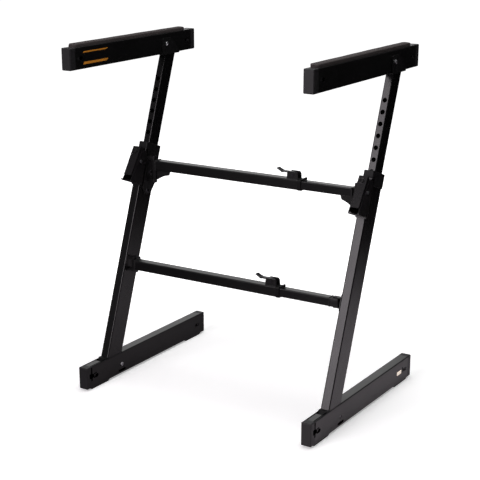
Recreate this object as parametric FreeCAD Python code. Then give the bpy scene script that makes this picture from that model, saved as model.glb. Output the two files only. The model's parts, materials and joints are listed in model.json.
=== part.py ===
import FreeCAD, Part
import math
import os

V = FreeCAD.Vector

# Folding keyboard stand: two Z-shaped sides joined by two telescoping crossbars.
# Millimetres. X runs across the stand, Y from front to back, Z up, floor at Z = 0.
# The origin is on the floor, under the middle of the whole stand.

# ---- driving dimensions -------------------------------------------------------------------
# overall
SIDE_SPACING = 678.0        # between the middles of the two sides
FOOT_LENGTH = 560.0
ARM_LENGTH = 541.0
ARM_OVERHANG = 17.4         # how far the arm's tip reaches past the foot's tip
ARM_TOP_HEIGHT = 905.0      # top of the arm tube above the floor
LEAN = 20.0                 # the legs lean back, degrees from upright

# foot and arm tubes
BOX_WIDTH = 28.0
FOOT_HEIGHT = 60.0
ARM_HEIGHT = 55.0
BOX_WALL = 1.5
BOX_CORNER = 2.5
CAP_LENGTH = 20.0
CAP_PLUG = 18.0             # how far a cap's plug goes into its tube
CAP_BEVEL = 3.0
PLUG_CLEARANCE = 0.1

# rubber feet and arm pads
PAD_THICKNESS = 5.0
PAD_LENGTH = 80.0
PAD_INSET = 18.0            # from the foot's tip to the nearest edge of its pad
PAD_SIDE = 2.0              # how much narrower than the foot a pad is, on each side
ARM_PAD_THICKNESS = 9.0
ARM_PAD_SIDE = 1.5
ARM_PAD_GAP = 2.0           # between the pad's end and the cap
ARM_PAD_TAIL = 22.0         # bare tube behind the pad

# legs
LEG_SETBACK = 70.4          # from the foot's tip to the leg's front face, at the foot's underside
LEG_DEPTH = 60.0
LEG_WALL = 1.5
LEG_CORNER = 3.0
LEG_SIDE_CLEARANCE = 0.2    # between the leg and the foot's side walls
LEG_TOP = 655.0             # along the leg, from the foot's underside

# sliding uprights
UPRIGHT_FRONT = 11.0        # from the leg's front face to the upright's front face
UPRIGHT_DEPTH = 42.0
UPRIGHT_WALL = 1.5
UPRIGHT_CORNER = 2.5
UPRIGHT_INSERT = 215.0      # length of upright inside the leg
SLIDE_CLEARANCE = 0.3
HOLE_DIAMETER = 12.0
HOLE_PITCH = 29.4
HOLE_MARGIN = 60.0          # from the upright's top end to the nearest hole, at least
GUIDE_LENGTH = 40.0         # plastic guide block at the upright's lower end

# collar at the top of the leg
COLLAR_WALL = 2.2
COLLAR_HEIGHT = 32.0
COLLAR_TOP = 4.0
COLLAR_FRONT_HEIGHT = 14.0
LINER_LENGTH = 52.0

# socket that holds the leg in the foot
SOCKET_FRONT = 28.0         # visible lip in front of the leg
SOCKET_REAR = 20.0
SOCKET_FLOOR = 4.0
SOCKET_CORNER = 1.3
SOCKET_LIP_DROP = 14.0      # depth of the scoop in the lip

# height latch, in leg coordinates: out in front of the leg, and along it
PLATE = 2.0
LATCH_DROP = 21.0           # bracket's top, below the leg's top end
LATCH_HEIGHT = 90.0
LATCH_REACH_BOTTOM = 46.0
LATCH_REACH_TOP = 19.0
LATCH_SKIRT = 3.5           # how far the bracket laps the leg below its shelf
LATCH_BACK_DROP = 28.0      # back plate's top below the bracket's top
SHELF_REACH = 66.0          # tip of the pointed shelf under the lever
SHELF_THICKNESS = 3.0
SHELF_TIP = 0.35            # width of the shelf's tip as a share of its root
LATCH_GRIP = 6.0            # how far the bracket's cheeks lap the leg's sides
BOLT_DROP = 27.0            # lock bolt's axis, below the leg's top end
PIVOT_DROP = 25.5           # pivot's axis, below the lock bolt's
PIVOT_REACH = 16.0
PIVOT_DIAMETER = 6.0
PIVOT_HEAD_HEIGHT = 1.5
LEVER_RISE = 13.0           # lever's top end, above the lock bolt's axis
LEVER_LENGTH = 81.0
LEVER_REACH_TOP = 27.0
LEVER_REACH_BOTTOM = 47.0
LEVER_SHEET = 2.5
LEVER_SIDE_GAP = 0.5
LEVER_LIP = 12.0            # depth of the lever's cheeks at its lower end
LEVER_BROW = 8.0            # and at its top
LEVER_EYE = 8.0             # radius of the cheek round the pivot
BOLT_DIAMETER = 9.0
BOLT_REACH = 14.0           # the bolt's tip, behind the leg's front face
BOLT_HEAD_DIAMETER = 12.0
BOLT_HEAD_HEIGHT = 2.6
BOLT_SEAT = 32.2            # the head's underside, in front of the leg
BOLT_BOSS = 13.5            # diameter of the boss under the head
BOLT_SLOP = 1.2
BOLT_RISE = 3.8             # how far the bolt climbs as it swings out
SPRING_TIP_DROP = 10.5      # where the leaf spring touches the lever, below the pivot
SPRING_LEAF = 32.0          # from there down to the spring's bend
SPRING_BEND_RADIUS = 2.0
SPRING_SHEET = 0.9
SPRING_WIDTH = 12.0
SPRING_GAP = 0.3
RUNNING_CLEARANCE = 0.08

# crossbars
UPPER_BAR_DROP = 55.5       # bar's middle, below the leg's top end
LOWER_BAR_HEIGHT = 310.0
UPPER_BAR_SETBACK = 23.0    # bar's middle behind the leg's front face, at the bar's height
LOWER_BAR_SETBACK = 14.0
BAR_SIZE = 26.0
BAR_WALL = 1.5
BAR_CORNER = 2.5
OUTER_BAR_END = 150.0       # right end of the outer tubes
WIDTH_OUT = 204.0           # how far the right side can be pulled out from here
TELESCOPE_OVERLAP = 60.0    # least length of inner tube left inside the outer one

# hinges between bars and legs
HINGE_OFFSET = 32.0         # hinge axis from the side's middle
BARREL_RADIUS = 7.0
HINGE_PIN = 8.0
HINGE_PLATE = 3.0
HINGE_GAP = 0.3
TAB_SINK = 0.4              # how deep a knuckle's tab is let into its plate
UPPER_KNUCKLE = 8.0
LOWER_KNUCKLE = 6.0
GUSSET_DROP = 27.0          # how far the gusset reaches under the bar
OUTER_GUSSET_REACH = 52.0
INNER_GUSSET_REACH = 46.5
GUSSET_SHEET = 4.0
GUSSET_TIP = 12.5           # height of the gusset's blunt tip
GUSSET_HOLLOW = 0.08        # how far its lower edge is hollowed, as a share of its size
END_PLATE = 4.0
END_PLATE_OFFSET = 8.0      # from the hinge axis to the plate that the bar is welded to
OPEN_PIVOT_CLEARANCE = 0.3
PLATE_GAP = 0.5             # between the upper hinge plate and the collar above it
CHEEK_GAP = 1.5             # between the upper hinge plate and the latch bracket's cheek
PLATE_OVERHANG = 6.0        # how far the upper hinge plate reaches behind the leg
PLATE_TAIL = 82.0           # and below the upper bar's axis, along the leg
PLATE_CORNER = 6.0
UPPER_SCREWS = (22.0, 72.0)  # screws of the upper hinge plate, below the bar's axis
UPPER_SCREW_SETBACK = 35.0  # behind the leg's front face
LOWER_PLATE_HALF = 22.0     # half the height of the lower hinge plate
LOWER_PLATE_FRONT = 14.0    # in front of the lower bar's axis
LOWER_PLATE_REAR = 49.0     # and behind it
LOWER_SCREW_SETBACK = 36.0
LOWER_SCREW_RISE = 11.0
SCREW_DIAMETER = 6.0
SCREW_HEAD = 12.0
SCREW_HEAD_HEIGHT = 2.5

# cam clamps on the crossbars
EAR_SHEET = 2.5
EAR_SPACING = 15.0
EAR_LENGTH = 33.0
EAR_HEIGHT = 19.0
EAR_INSET = 0.5             # between the ears and the bush
CAM_HEIGHT = 11.0
CAM_RADIUS = 8.0
CAM_OFFSET = 2.7
CAM_PIN = 6.0
CAM_SIDE_GAP = 0.5
NECK_LENGTH = 30.0          # flat part of the handle, from the pin
NECK_TOP = 6.4              # its top, above the pin
NECK_SHEET = 3.0
PADDLE_LENGTH = 17.0        # rising part that the finger lifts
PADDLE_RISE = 7.0
PADDLE_SHEET = 4.0
BUSH_WALL = 1.2
BUSH_LAP = 5.0
BUSH_NOSE = 4.0

# cross bolts
CROSS_BOLT = 8.0
CROSS_HEAD = 11.0
CROSS_HEAD_HEIGHT = 2.5
FOOT_BOLT_GAP = 8.29        # from the leg's rear face to the bolt's axis
FOOT_BOLT_HEIGHT = 26.0     # above the foot's underside
FOOT_SLOT_LENGTH = 32.0
FOOT_SLOT_HEIGHT = 7.0
FOOT_SLOT_DROP = 17.0       # slot's middle below the bolt
ARM_BOLT_DROP = 29.0        # below the arm's top

# arm saddles
SADDLE_SHEET = 2.0
EAR_HALF = 19.0             # half the width of the saddle's ear
SADDLE_EAR_TOP = 16.0       # ear's top above the bolt
SADDLE_TAIL = 58.0          # saddle's rear end behind the bolt
SADDLE_CLEARANCE = 0.2

# snap windows that hold the caps
WINDOW_LENGTH = 20.0
WINDOW_HEIGHT = 9.0
WINDOW_INSET = 8.0          # from the tube's end
WINDOW_DEPTH = 1.0          # how far the snap lies below the surface

# ---- values worked out from them -----------------------------------------------------------
SIN, COS = math.sin(math.radians(LEAN)), math.cos(math.radians(LEAN))
TAN = SIN / COS
FOOT_FRONT = -(FOOT_LENGTH + ARM_OVERHANG) / 2 + ARM_OVERHANG
FOOT_REAR = FOOT_FRONT + FOOT_LENGTH
ARM_FRONT = FOOT_FRONT - ARM_OVERHANG
ARM_REAR = ARM_FRONT + ARM_LENGTH
FOOT_Z = PAD_THICKNESS
ARM_Z = ARM_TOP_HEIGHT - ARM_HEIGHT
LEG_Y = FOOT_FRONT + LEG_SETBACK
LEG_WIDTH = BOX_WIDTH - 2 * (BOX_WALL + LEG_SIDE_CLEARANCE)
LEG_SIDE = LEG_WIDTH / 2
UPRIGHT_WIDTH = LEG_WIDTH - 2 * (LEG_WALL + SLIDE_CLEARANCE)
UPPER_Z, LOWER_Z = FOOT_Z + LEG_TOP * COS - UPPER_BAR_DROP, LOWER_BAR_HEIGHT
LATCH_TOP = LEG_TOP - LATCH_DROP
LATCH_BOTTOM = LATCH_TOP - LATCH_HEIGHT
BOLT_HEIGHT = LEG_TOP - BOLT_DROP
PIVOT_HEIGHT = BOLT_HEIGHT - PIVOT_DROP
LEVER_TOP = BOLT_HEIGHT + LEVER_RISE
LEVER_BOTTOM = LEVER_TOP - LEVER_LENGTH
SPRING_TIP_HEIGHT = PIVOT_HEIGHT - SPRING_TIP_DROP
SPRING_BEND_HEIGHT = SPRING_TIP_HEIGHT - SPRING_LEAF
UPRIGHT_TAIL = LEG_TOP - UPRIGHT_INSERT
UPRIGHT_TOP = (ARM_Z - FOOT_Z) / COS
HOLE_COUNT = 1 + int((UPRIGHT_TOP - HOLE_MARGIN - BOLT_HEIGHT) / HOLE_PITCH)
HINGE_X = SIDE_SPACING / 2 - HINGE_OFFSET
INNER_SIZE = BAR_SIZE - 2 * (BAR_WALL + SLIDE_CLEARANCE)
BAR_START = HINGE_X - END_PLATE_OFFSET - END_PLATE
INNER_BAR_START = OUTER_BAR_END - WIDTH_OUT - TELESCOPE_OVERLAP
CHEEK_OUT = LEG_SIDE + PLATE
LEVER_WIDTH = LEG_WIDTH - 2 * LEVER_SIDE_GAP
BOX_INNER_WIDTH = BOX_WIDTH - 2 * BOX_WALL


# ---- small helpers -------------------------------------------------------------------------
def block(x0, x1, y0, y1, z0, z1):
    return Part.makeBox(x1 - x0, y1 - y0, z1 - z0, V(x0, y0, z0))


def rod(radius, start, end):
    start, end = V(*start), V(*end)
    return Part.makeCylinder(radius, (end - start).Length, start, end - start)


def profile(points):
    """A flat face from a closed list of points."""
    return Part.Face(Part.makePolygon([V(*p) for p in points] + [V(*points[0])]))


def side_plate(points, x0, x1):
    """A plate cut from (y, z) points, from x0 to x1."""
    return profile([(x0, y, z) for y, z in points]).extrude(V(x1 - x0, 0, 0))


def along(shape, axis):
    """The straight edges of a shape that run along an axis."""
    found = []
    for edge in shape.Edges:
        if isinstance(edge.Curve, Part.Line):
            if abs(edge.tangentAt(edge.FirstParameter).dot(V(*axis))) > 0.999:
                found.append(edge)
    return found


def soft_block(x0, x1, y0, y1, z0, z1, radius, axis):
    """A block whose four edges along one axis are rounded."""
    shape = block(x0, x1, y0, y1, z0, z1)
    return shape.makeFillet(radius, along(shape, axis))


def box_tube(x_half, y0, y1, z0, z1, wall, corner, axis):
    """A rectangular tube with rounded corners, open at both ends of its axis."""
    outer = soft_block(-x_half, x_half, y0, y1, z0, z1, corner, axis)
    step = [0 if component else wall for component in axis]
    inner_corner = max(corner - wall, 0.3)
    inner = soft_block(-x_half + step[0], x_half - step[0], y0 + step[1], y1 - step[1],
                       z0 + step[2], z1 - step[2], inner_corner, axis)
    return outer.cut(inner)


def moved(shape, x=0.0, y=0.0, z=0.0):
    shape = shape.copy()
    shape.translate(V(x, y, z))
    return shape


def on_leg(shape):
    """From leg coordinates (x, behind the front face, up along the leg) to the side's frame."""
    shape = shape.copy()
    shape.rotate(V(0, 0, 0), V(1, 0, 0), -LEAN)
    shape.translate(V(0, LEG_Y, FOOT_Z))
    return shape


def leg_front(height):
    """Y of the leg's front face at a height above the floor."""
    return LEG_Y + (height - FOOT_Z) * TAN


def to_leg(y, z):
    """Leg coordinates (behind the front face, along the leg) of a point of the side."""
    dy, dz = y - LEG_Y, z - FOOT_Z
    return dy * COS - dz * SIN, dy * SIN + dz * COS


UPPER_Y = leg_front(UPPER_Z) + UPPER_BAR_SETBACK
LOWER_Y = leg_front(LOWER_Z) + LOWER_BAR_SETBACK


def tapered(radius, tip_radius, start, end, taper):
    """A rod along Y whose far end is tapered."""
    straight = rod(radius, (0, start, 0), (0, end - taper, 0))
    tip = Part.makeCone(radius, tip_radius, taper, V(0, end - taper, 0), V(0, 1, 0))
    return straight.fuse(tip)


# ---- feet and arms -------------------------------------------------------------------------
def snap_windows(y0, y1, middle):
    """Cutters for the oval windows near both ends of a tube, through both side walls."""
    cutters = []
    for start in (y0 + WINDOW_INSET, y1 - WINDOW_INSET - WINDOW_LENGTH):
        cutters.append(soft_block(-BOX_WIDTH, BOX_WIDTH, start, start + WINDOW_LENGTH,
                                  middle - WINDOW_HEIGHT / 2, middle + WINDOW_HEIGHT / 2,
                                  WINDOW_HEIGHT * 0.45, (1, 0, 0)))
    return cutters


def end_caps(y0, y1, z0, height):
    """The two plastic caps of a tube: bevelled head, plug, and the snap in each window."""
    caps = []
    middle = z0 + height / 2
    half = BOX_WIDTH / 2
    for tip, inward in ((y0, 1), (y1, -1)):
        seam = tip + inward * CAP_LENGTH
        end = seam + inward * CAP_PLUG
        head = soft_block(-half, half, min(tip, seam), max(tip, seam), z0, z0 + height,
                          BOX_CORNER, (0, 1, 0))
        front = [e for e in head.Edges if abs(e.CenterOfMass.y - tip) < 0.01]
        head = head.makeChamfer(CAP_BEVEL * 0.7, front)
        inset = BOX_WALL + PLUG_CLEARANCE
        plug = soft_block(-half + inset, half - inset, min(seam, end), max(seam, end),
                          z0 + inset, z0 + height - inset, 1.0, (0, 1, 0))
        near, far = sorted((seam + inward, end + inward))
        hollow = block(-half + 2.5 * inset, half - 2.5 * inset, near, far,
                       z0 + 3 * inset, z0 + height - 3 * inset)
        cap = head.fuse(plug.cut(hollow))
        snap_start = seam + inward * (WINDOW_INSET + 1)
        snap_end = end - inward * 0.5
        reach = half - WINDOW_DEPTH
        snap = block(-reach, reach, min(snap_start, snap_end), max(snap_start, snap_end),
                     middle - WINDOW_HEIGHT / 2 + 1.5, middle + WINDOW_HEIGHT / 2 - 1.5)
        caps.append(cap.fuse(snap).removeSplitter())
    return Part.makeCompound(caps)


def foot_bolt_place():
    z = FOOT_Z + FOOT_BOLT_HEIGHT
    return leg_front(z) + LEG_DEPTH / COS + FOOT_BOLT_GAP, z


def foot_tube():
    y0, y1 = FOOT_FRONT + CAP_LENGTH, FOOT_REAR - CAP_LENGTH
    tube = box_tube(BOX_WIDTH / 2, y0, y1, FOOT_Z, FOOT_Z + FOOT_HEIGHT, BOX_WALL, BOX_CORNER,
                    (0, 1, 0))
    top = FOOT_Z + FOOT_HEIGHT
    slot_front = leg_front(top) - SOCKET_FRONT
    slot_rear = leg_front(top) + LEG_DEPTH / COS + 1.5
    tube = tube.cut(block(-BOX_INNER_WIDTH / 2, BOX_INNER_WIDTH / 2, slot_front, slot_rear,
                          top - 2 * BOX_WALL, top + 1))
    bolt_y, bolt_z = foot_bolt_place()
    tube = tube.cut(rod(CROSS_BOLT / 2, (-BOX_WIDTH, bolt_y, bolt_z), (BOX_WIDTH, bolt_y, bolt_z)))
    slot_z = bolt_z - FOOT_SLOT_DROP
    tube = tube.cut(soft_block(-BOX_WIDTH, BOX_WIDTH, bolt_y - FOOT_SLOT_LENGTH / 2,
                               bolt_y + FOOT_SLOT_LENGTH / 2, slot_z - FOOT_SLOT_HEIGHT / 2,
                               slot_z + FOOT_SLOT_HEIGHT / 2, FOOT_SLOT_HEIGHT * 0.45, (1, 0, 0)))
    for cutter in snap_windows(y0, y1, FOOT_Z + FOOT_HEIGHT / 2):
        tube = tube.cut(cutter)
    return tube


def foot_caps():
    return end_caps(FOOT_FRONT, FOOT_REAR, FOOT_Z, FOOT_HEIGHT)


def foot_pads():
    pads = []
    half = BOX_WIDTH / 2 - PAD_SIDE
    for start in (FOOT_FRONT + PAD_INSET, FOOT_REAR - PAD_INSET - PAD_LENGTH):
        pad = soft_block(-half, half, start, start + PAD_LENGTH, 0, FOOT_Z, 3.0, (0, 0, 1))
        rim = [e for e in pad.Edges if abs(e.BoundBox.ZMax) < 0.01]
        pads.append(pad.makeChamfer(0.8, rim))
    return Part.makeCompound(pads)


def leg_socket():
    """Plastic block inside the foot that wraps the leg's end and fills the slot before it."""
    top = FOOT_Z + FOOT_HEIGHT
    half = BOX_INNER_WIDTH / 2 - PLUG_CLEARANCE
    front = leg_front(top) - SOCKET_FRONT + PLUG_CLEARANCE
    rear = leg_front(FOOT_Z) + LEG_DEPTH / COS + SOCKET_REAR
    inside = BOX_WALL + PLUG_CLEARANCE
    body = soft_block(-half, half, front, rear, FOOT_Z + inside, top - inside, SOCKET_CORNER,
                      (0, 1, 0))
    lip_rear = leg_front(top) + 6
    body = body.fuse(block(-half, half, front, lip_rear, top - 10, top + 2.5))
    leg_hole = block(-BOX_WIDTH, BOX_WIDTH, -PLUG_CLEARANCE, LEG_DEPTH + PLUG_CLEARANCE,
                     -FOOT_HEIGHT, 3 * FOOT_HEIGHT)
    pocket = on_leg(leg_hole).common(block(-BOX_WIDTH, BOX_WIDTH, FOOT_FRONT, FOOT_REAR,
                                           FOOT_Z + BOX_WALL + SOCKET_FLOOR, 3 * FOOT_HEIGHT))
    body = body.cut(pocket)
    scoop_r = SOCKET_FRONT * 1.05
    scoop = rod(scoop_r, (-half - 1, front - 2, top + scoop_r - SOCKET_LIP_DROP * 0.55),
                (half + 1, front - 2, top + scoop_r - SOCKET_LIP_DROP * 0.55))
    body = body.cut(scoop)
    bolt_y, bolt_z = foot_bolt_place()
    body = body.cut(rod(CROSS_BOLT / 2, (-BOX_WIDTH, bolt_y, bolt_z), (BOX_WIDTH, bolt_y, bolt_z)))
    slot_z = bolt_z - FOOT_SLOT_DROP
    return body.cut(block(-BOX_WIDTH, BOX_WIDTH, bolt_y - FOOT_SLOT_LENGTH / 2,
                          bolt_y + FOOT_SLOT_LENGTH / 2, slot_z - FOOT_SLOT_HEIGHT / 2,
                          slot_z + FOOT_SLOT_HEIGHT / 2))


def cross_bolt(y, z, inner_face, outer_face):
    """A bolt across a tube: domed head on the inner side, plain end on the outer one."""
    shank = rod(CROSS_BOLT / 2, (outer_face, y, z), (inner_face, y, z))
    head = rod(CROSS_HEAD / 2, (inner_face, y, z), (inner_face + CROSS_HEAD_HEIGHT, y, z))
    rim = [e for e in head.Edges if abs(e.CenterOfMass.x - inner_face - CROSS_HEAD_HEIGHT) < 0.01]
    head = head.makeChamfer(CROSS_HEAD_HEIGHT * 0.4, rim)
    return shank.fuse(head).removeSplitter()


def foot_bolt():
    y, z = foot_bolt_place()
    return cross_bolt(y, z, BOX_WIDTH / 2, -BOX_WIDTH / 2 + BOX_WALL)


def arm_tube():
    y0, y1 = ARM_FRONT + CAP_LENGTH, ARM_REAR - CAP_LENGTH
    tube = box_tube(BOX_WIDTH / 2, y0, y1, ARM_Z, ARM_TOP_HEIGHT, BOX_WALL, BOX_CORNER, (0, 1, 0))
    y, z = arm_bolt_place()
    tube = tube.cut(rod(CROSS_BOLT / 2, (-BOX_WIDTH, y, z), (BOX_WIDTH, y, z)))
    for cutter in snap_windows(y0, y1, ARM_Z + ARM_HEIGHT / 2):
        tube = tube.cut(cutter)
    return tube


def arm_caps():
    return end_caps(ARM_FRONT, ARM_REAR, ARM_Z, ARM_HEIGHT)


def arm_pad():
    """Foam strip along the top of the arm, with rounded ends and softened edges."""
    half = BOX_WIDTH / 2 - ARM_PAD_SIDE
    y0 = ARM_FRONT + CAP_LENGTH + ARM_PAD_GAP
    y1 = ARM_REAR - CAP_LENGTH - ARM_PAD_TAIL
    pad = soft_block(-half, half, y0, y1, ARM_TOP_HEIGHT, ARM_TOP_HEIGHT + ARM_PAD_THICKNESS,
                     5.0, (0, 0, 1))
    rim = [e for e in pad.Edges if e.BoundBox.ZMin > ARM_TOP_HEIGHT + ARM_PAD_THICKNESS - 0.01]
    return pad.makeFillet(2.0, rim)


def arm_bolt_place():
    z = ARM_TOP_HEIGHT - ARM_BOLT_DROP
    return leg_front(z), z


def arm_bolt():
    y, z = arm_bolt_place()
    face = BOX_WIDTH / 2 + SADDLE_CLEARANCE + SADDLE_SHEET
    bolt = cross_bolt(y, z, face, -face)
    nut = rod(CROSS_HEAD / 2, (-face, y, z), (-face - CROSS_HEAD_HEIGHT, y, z))
    return bolt.fuse(nut).removeSplitter()


def arm_saddle():
    """U-shaped plate under the arm, with an ear each side for the bolt."""
    y, z = arm_bolt_place()
    front, rear = y - EAR_HALF, y + SADDLE_TAIL
    bottom = ARM_Z - SADDLE_SHEET
    inner = BOX_WIDTH / 2 + SADDLE_CLEARANCE
    outer = inner + SADDLE_SHEET
    top = z + SADDLE_EAR_TOP
    cheek = side_plate([(front, bottom), (rear, bottom), (rear, bottom + 9), (y + EAR_HALF, top),
                        (front, top)], -outer, outer)
    corners = [e for e in along(cheek, (1, 0, 0)) if e.CenterOfMass.z > bottom + 5]
    cheek = cheek.makeFillet(6.0, corners)
    saddle = cheek.cut(block(-inner, inner, front - 1, rear + 1, ARM_Z, top + 1))
    return saddle.cut(rod(CROSS_BOLT / 2, (-outer - 1, y, z), (outer + 1, y, z)))


# ---- leg, collar and upright ---------------------------------------------------------------
def bolt_slot():
    """Cutter for the upright slot that the lock bolt swings through, in leg coordinates."""
    radius = BOLT_DIAMETER / 2 + BOLT_SLOP
    low = rod(radius, (0, -5, BOLT_HEIGHT), (0, UPRIGHT_FRONT, BOLT_HEIGHT))
    high = moved(low, z=BOLT_RISE)
    between = block(-radius, radius, -5, UPRIGHT_FRONT, BOLT_HEIGHT, BOLT_HEIGHT + BOLT_RISE)
    return low.fuse([high, between])


def hinge_screw_places():
    """Where the hinge plates are screwed to the leg, in leg coordinates."""
    upper_s = to_leg(UPPER_Y, UPPER_Z)[1]
    upper = [(UPPER_SCREW_SETBACK, upper_s - drop) for drop in UPPER_SCREWS]
    lower_d, lower_s = to_leg(LOWER_Y, LOWER_Z)
    lower = [(lower_d + LOWER_SCREW_SETBACK, lower_s + rise)
             for rise in (-LOWER_SCREW_RISE, LOWER_SCREW_RISE)]
    return upper + lower


def leg_tube():
    tube = box_tube(LEG_SIDE, 0, LEG_DEPTH, -FOOT_HEIGHT, LEG_TOP, LEG_WALL, LEG_CORNER, (0, 0, 1))
    tube = tube.cut(bolt_slot())
    for d, s in hinge_screw_places():
        tube = tube.cut(rod(SCREW_DIAMETER / 2, (LEG_SIDE - 5, d, s), (LEG_SIDE + 5, d, s)))
    tube = on_leg(tube)
    floor = FOOT_Z + BOX_WALL + SOCKET_FLOOR + PLUG_CLEARANCE
    return tube.common(block(-BOX_WIDTH, BOX_WIDTH, FOOT_FRONT, FOOT_REAR + FOOT_LENGTH, floor,
                             2 * ARM_TOP_HEIGHT))


def leg_collar():
    """Plastic collar over the leg's mouth, with a liner that guides the upright."""
    gap = PLUG_CLEARANCE
    out = LEG_SIDE + gap + COLLAR_WALL
    front, rear = -gap - COLLAR_WALL, LEG_DEPTH + gap + COLLAR_WALL
    top = LEG_TOP + COLLAR_TOP
    shell = soft_block(-out, out, front, rear, LEG_TOP - COLLAR_HEIGHT, top, 4.0, (0, 0, 1))
    rim = [e for e in shell.Edges if e.BoundBox.ZMin > top - 0.01]
    shell = shell.makeChamfer(1.2, rim)
    seat = soft_block(-LEG_SIDE - gap, LEG_SIDE + gap, -gap, LEG_DEPTH + gap,
                      LEG_TOP - COLLAR_HEIGHT - 1, LEG_TOP, LEG_CORNER, (0, 0, 1))
    shell = shell.cut(seat)
    shell = shell.cut(block(-out - 1, out + 1, front - 1, -gap + 0.01 + LATCH_GRIP + 3,
                            LEG_TOP - COLLAR_HEIGHT - 1, LEG_TOP - COLLAR_FRONT_HEIGHT))
    inside = LEG_WALL + gap
    liner = soft_block(-LEG_SIDE + inside, LEG_SIDE - inside, inside, LEG_DEPTH - inside,
                       LEG_TOP - LINER_LENGTH, LEG_TOP, LEG_CORNER - LEG_WALL, (0, 0, 1))
    collar = shell.fuse(liner)
    half = UPRIGHT_WIDTH / 2 + SLIDE_CLEARANCE + 0.05
    d0, d1 = UPRIGHT_FRONT - SLIDE_CLEARANCE, UPRIGHT_FRONT + UPRIGHT_DEPTH + SLIDE_CLEARANCE
    collar = collar.cut(block(-half, half, d0, d1, LEG_TOP - LINER_LENGTH - 1, top + 1))
    return on_leg(collar.cut(bolt_slot()))


def upright():
    """The sliding tube with its row of holes, and the guide block at its lower end."""
    half = UPRIGHT_WIDTH / 2
    top = UPRIGHT_TOP + LEG_DEPTH
    tube = box_tube(half, UPRIGHT_FRONT, UPRIGHT_FRONT + UPRIGHT_DEPTH, UPRIGHT_TAIL, top,
                    UPRIGHT_WALL, UPRIGHT_CORNER, (0, 0, 1))
    for step in range(HOLE_COUNT):
        s = BOLT_HEIGHT + step * HOLE_PITCH
        tube = tube.cut(rod(HOLE_DIAMETER / 2, (0, 0, s), (0, UPRIGHT_FRONT + 5, s)))
    gap = LEG_WALL + SLIDE_CLEARANCE
    guide = block(-half, half, gap, LEG_DEPTH - gap, UPRIGHT_TAIL, UPRIGHT_TAIL + GUIDE_LENGTH)
    guide = guide.makeChamfer(1.5, along(guide, (0, 0, 1)))
    core = block(-half + 4, half - 4, UPRIGHT_FRONT + 5, UPRIGHT_FRONT + UPRIGHT_DEPTH - 5,
                 UPRIGHT_TAIL - 1, UPRIGHT_TAIL + GUIDE_LENGTH + 1)
    shape = on_leg(tube.fuse(guide.cut(core)))
    return shape.common(block(-BOX_WIDTH, BOX_WIDTH, FOOT_FRONT, FOOT_REAR + FOOT_LENGTH, 0,
                              ARM_Z - SADDLE_SHEET))


# ---- height latch --------------------------------------------------------------------------
def latch_bracket():
    """Cheeks lapped on the leg's sides, a back plate and a pointed shelf at the bottom."""
    shelf_top = LATCH_BOTTOM + SHELF_THICKNESS
    foot = LATCH_BOTTOM - LATCH_SKIRT
    outline = [(LATCH_GRIP, foot), (LATCH_GRIP, LATCH_TOP - LATCH_GRIP),
               (LATCH_GRIP / 3, LATCH_TOP), (-LATCH_REACH_TOP, LATCH_TOP),
               (-LATCH_REACH_BOTTOM, shelf_top), (-LATCH_REACH_BOTTOM, LATCH_BOTTOM),
               (-PLATE, LATCH_BOTTOM), (-PLATE, foot)]
    bracket = side_plate(outline, -CHEEK_OUT, CHEEK_OUT)
    bracket = bracket.cut(block(-LEG_SIDE, LEG_SIDE, -2 * SHELF_REACH, LEG_DEPTH, foot - 1,
                                LATCH_TOP + 1))
    back = block(-LEG_SIDE, LEG_SIDE, -PLATE, 0, foot, LATCH_TOP - LATCH_BACK_DROP)
    wide, narrow = LEG_SIDE, LEG_SIDE * SHELF_TIP
    tongue = profile([(-wide, 0, LATCH_BOTTOM), (wide, 0, LATCH_BOTTOM),
                      (wide, -LATCH_REACH_BOTTOM, LATCH_BOTTOM), (narrow, -SHELF_REACH, LATCH_BOTTOM),
                      (-narrow, -SHELF_REACH, LATCH_BOTTOM),
                      (-wide, -LATCH_REACH_BOTTOM, LATCH_BOTTOM)])
    tongue = tongue.extrude(V(0, 0, SHELF_THICKNESS))
    bracket = bracket.fuse([back, tongue]).removeSplitter()
    pin = rod(PIVOT_DIAMETER / 2, (-BOX_WIDTH, -PIVOT_REACH, PIVOT_HEIGHT),
              (BOX_WIDTH, -PIVOT_REACH, PIVOT_HEIGHT))
    return on_leg(bracket.cut(pin))


def latch_pivot():
    half = CHEEK_OUT
    pin = rod(PIVOT_DIAMETER / 2, (-half, -PIVOT_REACH, PIVOT_HEIGHT),
              (half, -PIVOT_REACH, PIVOT_HEIGHT))
    for side in (-1, 1):
        pin = pin.fuse(rod(PIVOT_DIAMETER * 0.75, (side * half, -PIVOT_REACH, PIVOT_HEIGHT),
                           (side * (half + PIVOT_HEAD_HEIGHT), -PIVOT_REACH,
                            PIVOT_HEIGHT)))
    return on_leg(pin.removeSplitter())


def lever_reach(height):
    """How far the lever's front plate stands out before the leg, at a height along it."""
    part = (LEVER_TOP - height) / (LEVER_TOP - LEVER_BOTTOM)
    return LEVER_REACH_TOP + (LEVER_REACH_BOTTOM - LEVER_REACH_TOP) * part


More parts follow.
